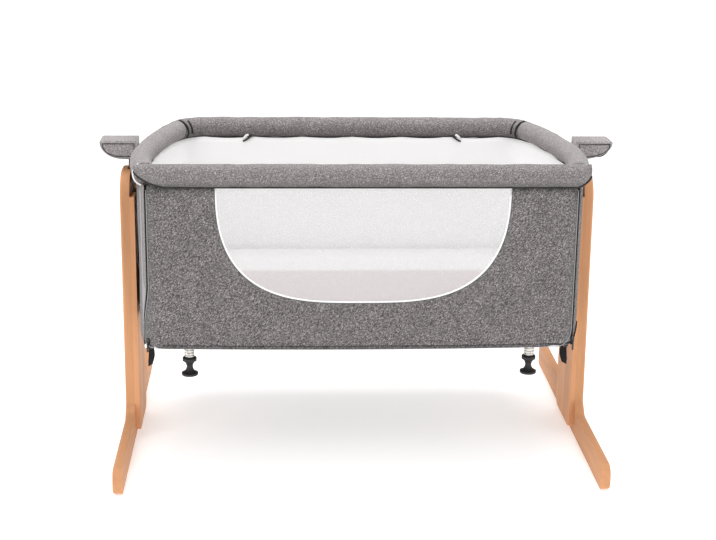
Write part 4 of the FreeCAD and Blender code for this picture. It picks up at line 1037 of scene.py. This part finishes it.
class CRIB_OT_end_walls(bpy.types.Operator):
    """Hangs the cloth walls round both ends and across the back"""

    bl_idname = "crib.end_walls"
    bl_label = "End and back walls"

    def execute(self, context):
        length = run_length(end_arcs(CLOTH_OFFSET, front_depth=WALL_FRONT_DEPTH))
        for side, label in SIDES:
            wall = new_piece(label + "_end_wall", end_wall(side), "wall_cloth", "basket",
                             wall=CLOTH_THICKNESS)
            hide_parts(label + "_end_panel")
        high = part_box("back_panel")[1]

        def place(along, up):
            x = high.x - 2 * high.x * along
            wave = 0.0014 * math.sin(along * 23.0) * math.sin(math.pi * up)
            return Vector((x, high.y - 0.0006 + wave * 0.5, CLOTH_BOTTOM + CLOTH_TALL * up))

        back = new_piece("back_wall", sheet_mesh(80, 30, place), "wall_cloth", "basket",
                         wall=CLOTH_THICKNESS)
        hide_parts("back_panel")
        return {"FINISHED"}


def base_outline(along, offset, corner):
    """Point on the closed plan outline of the base, along it from the middle of the front."""
    arcs = end_arcs(offset, front_radius=corner)
    first = walk(arcs, 0.0)[0]
    last = walk(arcs, 1.0)[0]
    end = run_length(arcs)
    total = first.x + end + last.x
    turn = along if along <= 0.5 else 1 - along
    left = turn * 2 * total
    if left < first.x:
        point = Vector((left, first.y))
    elif left < first.x + end:
        point = walk(arcs, (left - first.x) / end)[0]
    else:
        point = Vector((total - left, last.y))
    return point if along <= 0.5 else Vector((-point.x, point.y))


class CRIB_OT_bottom_cloth(bpy.types.Operator):
    """Closes the basket underneath"""

    bl_idname = "crib.bottom_cloth"
    bl_label = "Bottom cloth"

    def execute(self, context):
        low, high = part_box("bottom_cover")
        bm = bmesh.new()
        ring = bmesh.ops.create_circle(bm, cap_ends=True, radius=1.0, segments=160)["verts"]
        for i, vert in enumerate(ring):
            point = base_outline(i / len(ring), CLOTH_OFFSET - 0.002, CLOTH_FRONT_CORNER - 0.002)
            vert.co = Vector((point.x, point.y, low.z + 0.0002))
        for thickness, depth in ((0.010, 0.0), (0.002, 0.0004), (0.05, 0.0003), (0.06, 0.0)):
            bmesh.ops.inset_region(bm, faces=[max(bm.faces, key=lambda f: f.calc_area())],
                                   thickness=thickness, depth=depth)
        bmesh.ops.recalc_face_normals(bm, faces=bm.faces)
        for face in bm.faces:
            if face.normal.z > 0:
                face.normal_flip()
        area = face_area(bm)
        cloth = new_piece("bottom_cloth", bm, "wall_cloth", "basket",
                          smooth=False, wall=CLOTH_THICKNESS * 0.8)
        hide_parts("bottom_cover")
        return {"FINISHED"}


# ---- front cloth and its window ------------------------------------------------------
def window_edge(turn, grow=0.0):
    """Half-width and fall of the window's edge at an angle from straight down."""
    width = sizes().window_half_width + grow
    drop = sizes().window_drop + grow
    reach = width * math.copysign(abs(math.sin(turn)) ** (2 / WINDOW_SIDE_POWER), turn)
    fall = drop * max(0.0, math.cos(turn)) ** (2 / WINDOW_BOTTOM_POWER)
    return reach, fall


def front_corner():
    """Centre, radius, first and last angle of the cloth's front corner."""
    return end_arcs(CLOTH_OFFSET, front_radius=CLOTH_FRONT_CORNER)[0]


def corner_sweep():
    """Angle of the front corner from the straight to the bowed end."""
    start, end = front_corner()[2:]
    return end - start


def on_corner(turn, height, proud=0.0, side=1):
    """Point on the cloth some way round a front corner."""
    centre = front_corner()[0]
    out = CLOTH_FRONT_CORNER + proud
    return Vector((side * (centre.x + out * math.sin(turn)),
                   centre.y - out * math.cos(turn), height))


def on_front(run, height, proud=0.0):
    """Point on the front cloth; run is measured along the cloth from the middle."""
    beyond = abs(run) - front_corner()[0].x
    if beyond <= 0:
        return Vector((run, -(RAIL_DEPTH + CLOTH_OFFSET) - proud, height))
    return on_corner(beyond / CLOTH_FRONT_CORNER, height, proud, math.copysign(1.0, run))


def zip_turn(height, side):
    """How far round the corner the zip lies; on the left its foot runs further round."""
    bend = smooth_step((ZIP_BEND_HIGH - height) / (ZIP_BEND_HIGH - ZIP_BEND_LOW))
    return ZIP_TURN + ZIP_FOOT_TURN[side] * bend


def half_run(height, side):
    """Length of the front cloth from its middle to the zip."""
    return front_corner()[0].x + CLOTH_FRONT_CORNER * zip_turn(height, side)


def hem_height(run):
    """The front hem hangs a little lower in the middle."""
    return CLOTH_BOTTOM - HEM_SAG * max(0.0, 1 - (run / half_run(CLOTH_TOP, 1)) ** 2)


def front_panel_mesh():
    """Cloth from the window's edge out to the zips and the hem."""
    half = half_run(CLOTH_TOP, 1)

    def place(along, out):
        turn = (along - 0.5) * math.pi
        side = 1 if turn > 0 else -1
        power = FOOT_POWER[side]
        reach, fall = window_edge(turn)
        size = (abs(reach) / half) ** power + (fall / CLOTH_TALL) ** power
        far = size ** (-1 / power)
        stretch = 1 + (far - 1) * out ** 1.15
        height = CLOTH_TOP - fall * stretch
        run = reach * stretch
        share = (CLOTH_TOP - height) / CLOTH_TALL
        run += side * (half_run(height, side) - half) * (abs(run) / half) ** 5
        height += (hem_height(run) - CLOTH_BOTTOM) * share ** 3
        ease = math.sin(math.pi * min(1.0, out)) * min(1.0, share * 6)
        proud = 0.0018 * ease * noise.noise(Vector((run * 9.0, 0.3, height * 11.0)))
        tuck = smooth_step((height - (CLOTH_TOP - 0.006)) / 0.006)
        return on_front(run, height + 0.0046 * tuck, proud - 0.0004 - 0.0024 * tuck)

    return sheet_mesh(150, 24, place)


def strip_foot(turn, side):
    """How high the strip's foot is cut away some way round the corner."""
    return STRIP_FOOT_RISE[side] * max(0.0, (turn - ZIP_TURN) / (corner_sweep() - ZIP_TURN))


def corner_strip_mesh(side):
    """Narrow strip between the zip and the end wall."""
    def place(along, up):
        height = CLOTH_BOTTOM + CLOTH_TALL * up
        start = zip_turn(height, side) + ZIP_SWEEP
        turn = start + (corner_sweep() - start) * along
        height = max(height, CLOTH_BOTTOM + strip_foot(turn, side) * (1 - up))
        return on_corner(turn, height + 0.004 * smooth_step(up * 20 - 19), -0.0004)

    bm = sheet_mesh(8, 48, place)
    return bm if side > 0 else flip_side(bm)


def foot_binding_points(side):
    """Dark binding up the cut-away foot of the strip."""
    def place(share):
        turn = ZIP_TURN + (corner_sweep() - ZIP_TURN) * share
        return on_corner(turn, CLOTH_BOTTOM + strip_foot(turn, side), 0.0004, side)

    return line(12, place)


STRIP_BINDING_TURN = math.radians(63.0)
STRIP_BINDING_INSET = math.radians(1.5)
STRIP_BINDING_RISE = 0.008


def strip_binding_mesh(side):
    """White binding on the left strip, which also stands as painted light on that lit strip; it
    fills the strip where the zip's foot runs round.
    """
    last = corner_sweep() - STRIP_BINDING_INSET

    def place(along, up):
        height = CLOTH_BOTTOM + STRIP_BINDING_RISE + (CLOTH_TALL - 0.012) * up
        full = smooth_step((ZIP_BEND_HIGH + 0.008 - height) / 0.02)
        start = zip_turn(height, side) + ZIP_SWEEP
        inner = max(start, start + (STRIP_BINDING_TURN - start) * (1 - full))
        turn = inner + (last - inner) * along
        foot = STRIP_BINDING_RISE + strip_foot(turn, side) * (1 - up)
        return on_corner(turn, max(height, CLOTH_BOTTOM + foot), 0.0004)

    return flip_side(sheet_mesh(6, 48, place))


EDGE_CORNER = {1: 0.036, -1: 0.018}    # radius of the round between zip and hem
EDGE_INSET = 0.0010
EDGE_DROP = 0.004


def edge_piping_points():
    """Round the front cloth: down one zip, along the hem and up the other zip."""
    points = []
    for side in (-1, 1):
        corner = EDGE_CORNER[side]
        straight = half_run(CLOTH_BOTTOM, side) - EDGE_INSET - corner
        part = []
        for i in range(40):
            height = CLOTH_TOP - EDGE_DROP - (CLOTH_TALL - EDGE_DROP - corner) * i / 39
            part.append(on_front(side * (half_run(height, side) - EDGE_INSET), height, 0.0004))
        for i in range(1, 10):
            angle = math.pi / 2 * i / 9
            run = straight + corner * math.cos(angle)
            height = hem_height(run) + corner - corner * math.sin(angle)
            part.append(on_front(side * run, height, 0.0004))
        for i in range(1, 30):
            run = straight * (1 - i / 30)
            part.append(on_front(side * run, hem_height(run), 0.0002))
        points += part if side < 0 else part[::-1]
    return points


def hem_line_points(rise):
    """Sewn line a little above the hem."""
    reach = half_run(CLOTH_BOTTOM, 1) - 0.03

    def place(share):
        x = reach * (2 * share - 1)
        return on_front(x, hem_height(x) + rise, 0.0002)

    return line(60, place)


def window_band(rows, first, last, proud):
    """Band along the window's edge between two offsets from it; proud(share out) is its rise."""
    def place(along, out):
        turn = (along - 0.5) * math.pi
        inner, outer = window_edge(turn, first), window_edge(turn, last)
        reach = inner[0] + (outer[0] - inner[0]) * out
        fall = inner[1] + (outer[1] - inner[1]) * out
        return on_front(reach, CLOTH_TOP - fall, proud(out))

    return sheet_mesh(120, rows, place)


def hem_rise(out):
    """The turned hem stands a little proud between its edges."""
    return 0.0001 + (0.0009 * math.sin(math.pi * out) ** 0.5 if 0 < out < 1 else 0.0)


def binding_rise(out):
    return -0.0014 + 0.0004 * math.sin(math.pi * out)


def window_fold_shade_points():
    """Line of the fold round the window, where a dark cord is laid as painted shade."""
    def place(share):
        reach, fall = window_edge(math.pi * (share - 0.5), 0.0004)
        return on_front(reach, CLOTH_TOP - fall, -0.0004)

    return line(96, place)


MESH_REACH = 0.009    # the mesh runs on this far behind the window's edge


def window_mesh_mesh():
    """Mesh behind the window, with a slack diagonal fold towards the upper right."""
    low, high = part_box("front_mesh")

    def place(along, up):
        fall = (1 - (0.012 + 0.988 * up)) * (high.z - low.z)
        grown = sizes().window_drop + MESH_REACH
        turn = math.acos(min(1.0, fall / grown) ** (WINDOW_BOTTOM_POWER / 2))
        reach = window_edge(turn, MESH_REACH)[0]
        x = (along * 2 - 1) * max(reach, 0.004)
        z = high.z - fall
        slope = (x - 0.245) * 0.84 - (z - 0.525) * 0.54
        fold = -0.0030 * math.exp(-(slope / 0.007) ** 2) * smooth_step((x - 0.19) / 0.04)
        slack = 0.0010 * noise.noise(Vector((x * 7.0, 2.0, z * 7.0)))
        return Vector((x, (low.y + high.y) / 2 + slack * math.sin(math.pi * up) + fold, z))

    return sheet_mesh(110, 50, place)


def keep_with_side(*pieces):
    """Gives front pieces meshes of their own."""
    for item in pieces:
        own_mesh(item)


def front_piece(name, bm, finish, wall=0.0):
    """A sheet of the front, its faces turned away from the basket."""
    bm.normal_update()
    if sum(face.normal.y * face.calc_area() for face in bm.faces) > 0:
        bmesh.ops.reverse_faces(bm, faces=bm.faces)
        bm.normal_update()
    return new_piece(name, bm, finish, "basket", wall=wall)


class CRIB_OT_front_cloth(bpy.types.Operator):
    """Sews the front cloth, its hem and the mesh window"""

    bl_idname = "crib.front_cloth"
    bl_label = "Front cloth and window"

    def execute(self, context):
        bm = front_panel_mesh()
        area = face_area(bm)
        panel = front_piece("front_cloth", bm, "wall_cloth",
                            CLOTH_THICKNESS * 0.75)
        hem = front_piece("window_hem", window_band(6, 0.0, sizes().hem_width, hem_rise),
                          "wall_cloth", 0.0006)
        binding = front_piece("window_binding",
                              window_band(4, -sizes().binding_width, 0.0012, binding_rise),
                              "white_cloth", 0.0003)
        trims = [hem, binding]
        for name, points, radius, finish in (
                # painted shade: a dark cord along the fold round the window
                ("window_cord", window_fold_shade_points(), 0.0007, "seam_and_shade_cloth"),
                ("edge_piping", edge_piping_points(), 0.0009, "pale_cord"),
                ("hem_line", hem_line_points(0.0065), 0.0005, "seam_and_shade_cloth"),
                ("hem_line_low", hem_line_points(0.0035), 0.0006, "wall_cloth")):
            trims.append(piping(name, points, radius, finish, "basket"))
        for side, label in SIDES:
            bm = corner_strip_mesh(side)
            bmesh.ops.recalc_face_normals(bm, faces=bm.faces)
            strip_area = face_area(bm)
            strip = front_piece(label + "_corner_strip", bm,
                                # painted light: the left strip gets the lighter cloth, the right
                                # one, in shade, the wall cloth
                                "strip_cloth" if side < 0 else "wall_cloth",
                                CLOTH_THICKNESS * 0.6)
            if side < 0:
                edge = front_piece(label + "_strip_binding", strip_binding_mesh(side),
                                   "pale_cord", 0.0006)
            else:
                edge = piping(label + "_foot_binding", foot_binding_points(side), 0.0017,
                              "dark_tape", "basket")
            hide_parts("front_panel")
            keep_with_side(strip, edge)
            strip_run = CLOTH_FRONT_CORNER * (corner_sweep() - ZIP_TURN - ZIP_SWEEP)
        bm = window_mesh_mesh()
        mesh_area = face_area(bm)
        mesh = front_piece("window_mesh", bm, "mesh_cloth")
        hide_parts("front_panel")
        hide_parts("front_mesh")
        keep_with_side(panel, mesh, *trims)
        2 * half_run(CLOTH_TOP, 1)
        return {"FINISHED"}


# ---- zips ----------------------------------------------------------------------------
def zip_mesh(side):
    """Tape and a row of teeth from the hem to the rail."""
    low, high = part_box("zip_tapes")
    tall = high.z - low.z

    def place(along, up):
        height = low.z + tall * up
        turn = zip_turn(height, side) + ZIP_SWEEP * along
        return on_corner(turn, height, 0.0004 - 0.0008 * abs(2 * along - 1) ** 2)

    bm = sheet_mesh(6, 60, place)
    pitch = sizes().tooth_pitch
    for i in range(int(tall / pitch)):
        for hand in (-1, 1):
            height = low.z + pitch * (i + 0.5 + 0.25 * hand)
            turn = zip_turn(height, side) + ZIP_SWEEP * (0.5 + 0.13 * hand)
            point = on_corner(turn, height, 0.0003)
            tooth = (Matrix.Translation(point) @ Matrix.Rotation(turn - math.pi / 2, 4, "Z")
                     @ Matrix.Diagonal((0.0011, 0.0022, 0.0012, 1.0)))
            bmesh.ops.create_cube(bm, size=1.0, matrix=tooth)
    return bm if side > 0 else flip_side(bm)


class CRIB_OT_zips(bpy.types.Operator):
    """Closes the two front corners with zips"""

    bl_idname = "crib.zips"
    bl_label = "Zips"

    def execute(self, context):
        for side, label in SIDES:
            strip = new_piece(label + "_zip", zip_mesh(side), "dark_tape", "basket",
                              smooth=False)
            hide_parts("zip_tapes")
            keep_with_side(strip)
        return {"FINISHED"}


# ---- lining and mattress -------------------------------------------------------------
HOOK_DEPTH = 0.2312
HOOK_LINE = ((0.2466, 0.5893), (0.2448, 0.5900), (0.2395, 0.5928), (0.2330, 0.5972),
             (0.2262, 0.6030))
LOOP_LINE = ((0.2440, 0.5968), (0.2425, 0.5990), (0.2395, 0.6020), (0.2340, 0.6050))


class CRIB_OT_lining(bpy.types.Operator):
    """Hangs the white lining inside the ends and the back"""

    bl_idname = "crib.lining"
    bl_label = "Lining"

    def execute(self, context):
        arcs = end_arcs(LINER_OFFSET, front_depth=LINER_FRONT_DEPTH)
        end = run_length(arcs)
        last = walk(arcs, 1.0)[0]
        total = 2 * (end + last.x)
        tall = LINER_HIGH.z - LINER_LOW.z

        def place(along, up):
            turn = along if along <= 0.5 else 1 - along
            left = turn * total
            if left < end:
                point, angle = walk(arcs, left / end)
            else:
                point, angle = Vector((last.x - (left - end), last.y)), math.pi / 2
            scallop = 0.003 * abs(math.sin(along * math.pi * 14)) * up ** 6
            wave = 0.0016 * noise.noise(Vector((along * 40.0, up * 3.0, 0.7)))
            point = point + Vector((math.cos(angle), math.sin(angle))) * (wave - 0.0004)
            x = point.x if along <= 0.5 else -point.x
            return Vector((x, point.y, LINER_LOW.z + tall * up - scallop))

        bm = sheet_mesh(150, 24, place)
        bmesh.ops.recalc_face_normals(bm, faces=bm.faces)
        lining = new_piece("lining", bm, "white_cloth", "basket", wall=0.0012)
        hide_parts("inner_liner")
        for side, label in SIDES:
            tab = piping(label + "_hook", [(side * x, HOOK_DEPTH, z) for x, z in HOOK_LINE], 0.0021,
                         "black_plastic", "basket")
            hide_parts("liner_hooks")
            piping(label + "_hook_loop", [(side * x, HOOK_DEPTH, z) for x, z in LOOP_LINE], 0.0027,
                   "white_cloth", "basket")
        return {"FINISHED"}


def copied(node):
    """A merged copy of a CAD node's mesh."""
    bm = bmesh.new()
    bm.from_mesh(frame["nodes"][node].data)
    bmesh.ops.remove_doubles(bm, verts=bm.verts, dist=1e-5)
    bmesh.ops.recalc_face_normals(bm, faces=bm.faces)
    return bm


def remeshed(bm, name, voxel):
    """Even quads all over, as a new object."""
    mesh = bpy.data.meshes.new(name)
    bm.to_mesh(mesh)
    bm.free()
    obj = bpy.data.objects.new(name, mesh)
    bpy.context.scene.collection.objects.link(obj)
    remesh = obj.modifiers.new("remesh", "REMESH")
    remesh.mode = "VOXEL"
    remesh.voxel_size = voxel
    settle(obj)
    return obj


def settle(obj):
    """Applies every modifier to the mesh."""
    graph = bpy.context.evaluated_depsgraph_get()
    final = bpy.data.meshes.new_from_object(obj.evaluated_get(graph))
    obj.modifiers.clear()
    obj.data = final


CLOTH_FRAMES = 20


def inflate(obj, pressure, cap):
    """Lets the cover swell as stuffed cloth does, never by more than the cap."""
    before = [vert.co.copy() for vert in obj.data.vertices]
    cloth = obj.modifiers.new("cloth", "CLOTH")
    cloth.settings.use_pressure = True
    cloth.settings.uniform_pressure_force = pressure
    cloth.settings.effector_weights.gravity = 0.0
    cloth.settings.quality = 5
    cloth.point_cache.frame_start = 1
    cloth.point_cache.frame_end = CLOTH_FRAMES
    for number in range(1, CLOTH_FRAMES + 1):
        bpy.context.scene.frame_set(number)
    settle(obj)
    bpy.context.scene.frame_set(1)
    for vert, start in zip(obj.data.vertices, before):
        move = vert.co - start
        if move.length > cap:
            vert.co = start + move * (cap / move.length)


MATTRESS_SCALE = (0.992, 0.988, 0.95)
MATTRESS_VOXEL = 0.007
MATTRESS_PRESSURE = 3.0
MATTRESS_CAP = 0.004


class CRIB_OT_mattress(bpy.types.Operator):
    """Fills the mattress"""

    bl_idname = "crib.mattress"
    bl_label = "Mattress"

    def execute(self, context):
        low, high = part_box("mattress")
        bm = copied("mattress")
        middle = (low + high) / 2
        bmesh.ops.translate(bm, vec=-middle, verts=bm.verts)
        bmesh.ops.scale(bm, vec=MATTRESS_SCALE, verts=bm.verts)
        bmesh.ops.translate(bm, vec=middle, verts=bm.verts)
        pad = remeshed(bm, "mattress_pad", MATTRESS_VOXEL)
        inflate(pad, MATTRESS_PRESSURE, MATTRESS_CAP)
        for vert in pad.data.vertices:
            vert.co.z = max(low.z, min(high.z + 0.002, vert.co.z))
        for face in pad.data.polygons:
            face.use_smooth = True
        pad.data.materials.append(finish_of("mattress_cloth"))
        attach(pad, "basket")
        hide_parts("mattress")
        return {"FINISHED"}


# ---- straps and short feet -----------------------------------------------------------
STRAP_TAIL = 0.034
STRAP_TWIST = math.radians(24.0)
STUD_PLACE = Vector((0.350, 0.195))
STUD_RADIUS = 0.0105
STUD_RIBS = 7


class CRIB_OT_straps(bpy.types.Operator):
    """Hangs the two webbing tails"""

    bl_idname = "crib.straps"
    bl_label = "Straps"

    def execute(self, context):
        low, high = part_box("anchor_straps")
        middle = (low.y + high.y) / 2
        tall = high.z - low.z + STRAP_TAIL
        for side, label in SIDES:
            bm = bmesh.new()
            bmesh.ops.create_grid(bm, x_segments=8, y_segments=40, size=0.5)
            for vert in bm.verts:
                down = 0.5 - vert.co.y
                half = vert.co.x * (high.y - low.y) * (1 - 0.35 * smooth_step(down * 6 - 5))
                twist = STRAP_TWIST * smooth_step(down * 1.6 - 0.3)
                sway = 0.0022 * math.sin(down * 7.0) * down
                vert.co = Vector((side * (high.x - 0.001 + sway - half * math.sin(twist)),
                                  middle + half * math.cos(twist), high.z - tall * down))
            tail = new_piece(label + "_strap", bm, "dark_tape", "basket",
                             wall=0.0016, wall_side=0.0)
            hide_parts("anchor_straps")
        return {"FINISHED"}


class CRIB_OT_short_feet(bpy.types.Operator):
    """Turns the four plated, ribbed feet"""

    bl_idname = "crib.short_feet"
    bl_label = "Short feet"

    def execute(self, context):
        low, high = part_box("foot_studs")
        collar_top = CLOTH_BOTTOM - 0.0003
        radius = STUD_RADIUS
        step = (collar_top - low.z) / STUD_RIBS
        for name, side, back in (("front_right", 1, -1), ("front_left", -1, -1),
                                 ("back_right", 1, 1), ("back_left", -1, 1)):
            bm = bmesh.new()
            profile = [(0.0, low.z), (radius - 0.001, low.z)]
            for i in range(STUD_RIBS):
                base = low.z + step * i
                profile += [(radius - 0.0012, base + step * 0.05), (radius, base + step * 0.3),
                            (radius, base + step * 0.7), (radius - 0.0012, base + step * 0.95)]
            profile += [(0.005, collar_top), (0.005, high.z), (0.0, high.z)]
            verts = [bm.verts.new((r, 0.0, z)) for r, z in profile]
            edges = [bm.edges.new(two) for two in zip(verts, verts[1:])]
            bmesh.ops.spin(bm, geom=verts + edges, axis=(0, 0, 1), cent=(0, 0, 0), steps=32,
                           angle=2 * math.pi, use_merge=True)
            bmesh.ops.remove_doubles(bm, verts=bm.verts, dist=1e-6)
            bmesh.ops.recalc_face_normals(bm, faces=bm.faces)
            bmesh.ops.translate(bm, vec=(side * STUD_PLACE.x, back * STUD_PLACE.y, 0),
                                verts=bm.verts)
            foot = new_piece(name + "_stud", bm, "plated", "basket")
            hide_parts("foot_studs")
        return {"FINISHED"}


# ---- stage ---------------------------------------------------------------------------
def area_light(name, place, target, size, power):
    data = bpy.data.lights.new(name, "AREA")
    data.shape = "RECTANGLE"
    data.size, data.size_y = size
    data.energy = power
    light = bpy.data.objects.new(name, data)
    bpy.context.scene.collection.objects.link(light)
    light.location = place
    light.rotation_euler = (Vector(target) - Vector(place)).to_track_quat("-Z", "Y").to_euler()


class CRIB_OT_stage(bpy.types.Operator):
    """Sets the pale floor, the soft lights and the camera"""

    bl_idname = "crib.stage"
    bl_label = "Stage"

    def execute(self, context):
        bm = bmesh.new()
        bmesh.ops.create_grid(bm, x_segments=1, y_segments=1, size=20.0)
        mesh = bpy.data.meshes.new("floor")
        bm.to_mesh(mesh)
        bm.free()
        mesh.materials.append(finish_of("studio_floor"))
        floor = bpy.data.objects.new("floor", mesh)
        bpy.context.scene.collection.objects.link(floor)
        world = bpy.data.worlds.new("studio")
        world.use_nodes = True
        world.node_tree.nodes["Background"].inputs["Color"].default_value = (1, 1, 1, 1)
        world.node_tree.nodes["Background"].inputs["Strength"].default_value = 0.70
        bpy.context.scene.world = world
        bpy.context.scene.view_settings.view_transform = "Standard"
        area_light("key", (-1.8, -2.0, 2.8), (0, 0, 0.4), (2.2, 2.2), 26.0)
        area_light("fill", (2.4, -1.8, 1.8), (0, 0, 0.4), (2.0, 2.0), 8.0)
        area_light("top", (0.0, 0.3, 3.2), (0, 0, 0.3), (2.6, 2.0), 66.0)
        data = bpy.data.cameras.new("camera")
        data.lens = CAMERA_LENS
        data.sensor_width = 36.0
        camera = bpy.data.objects.new("camera", data)
        bpy.context.scene.collection.objects.link(camera)
        forward = Vector((math.sin(CAMERA_YAW) * math.cos(CAMERA_PITCH),
                          math.cos(CAMERA_YAW) * math.cos(CAMERA_PITCH), -math.sin(CAMERA_PITCH)))
        level = Vector((math.cos(CAMERA_YAW), -math.sin(CAMERA_YAW), 0.0))
        above = level.cross(forward)
        right = math.cos(CAMERA_ROLL) * level + math.sin(CAMERA_ROLL) * above
        upward = -math.sin(CAMERA_ROLL) * level + math.cos(CAMERA_ROLL) * above
        axes = Matrix((right, upward, -forward)).transposed().to_4x4()
        camera.matrix_world = Matrix.Translation(CAMERA_PLACE) @ axes
        bpy.context.scene.camera = camera
        return {"FINISHED"}


OPERATORS = (CRIB_OT_woodwork, CRIB_OT_metalwork, CRIB_OT_mouldings, CRIB_OT_rail_sleeves,
             CRIB_OT_handle_wings, CRIB_OT_end_walls, CRIB_OT_bottom_cloth, CRIB_OT_front_cloth,
             CRIB_OT_zips, CRIB_OT_lining, CRIB_OT_mattress, CRIB_OT_straps,
             CRIB_OT_short_feet, CRIB_OT_stage)


class CRIB_PT_sidebar(bpy.types.Panel):
    """Lists the crib's pieces in the sidebar"""

    bl_idname = "CRIB_PT_sidebar"
    bl_label = "Bedside crib"
    bl_space_type = "VIEW_3D"
    bl_region_type = "UI"
    bl_category = "Crib"

    def draw(self, context):
        column = self.layout.column(align=True)
        for kind in OPERATORS:
            column.operator(kind.bl_idname)
        for group in (context.scene.crib_sizes, context.scene.crib_colours):
            for label in group.__annotations__:
                self.layout.prop(group, label)


CLASSES = (CribSizes, CribColours, *OPERATORS, CRIB_PT_sidebar)


def register():
    for kind in CLASSES:
        bpy.utils.register_class(kind)
    bpy.types.Scene.crib_sizes = bpy.props.PointerProperty(type=CribSizes)
    bpy.types.Scene.crib_colours = bpy.props.PointerProperty(type=CribColours)


def unregister():
    del bpy.types.Scene.crib_colours
    del bpy.types.Scene.crib_sizes
    for kind in reversed(CLASSES):
        bpy.utils.unregister_class(kind)


def main():
    register()
    for kind in OPERATORS:
        group, name = kind.bl_idname.split(".")
        getattr(getattr(bpy.ops, group), name)()


if __name__ == "__main__":
    main()
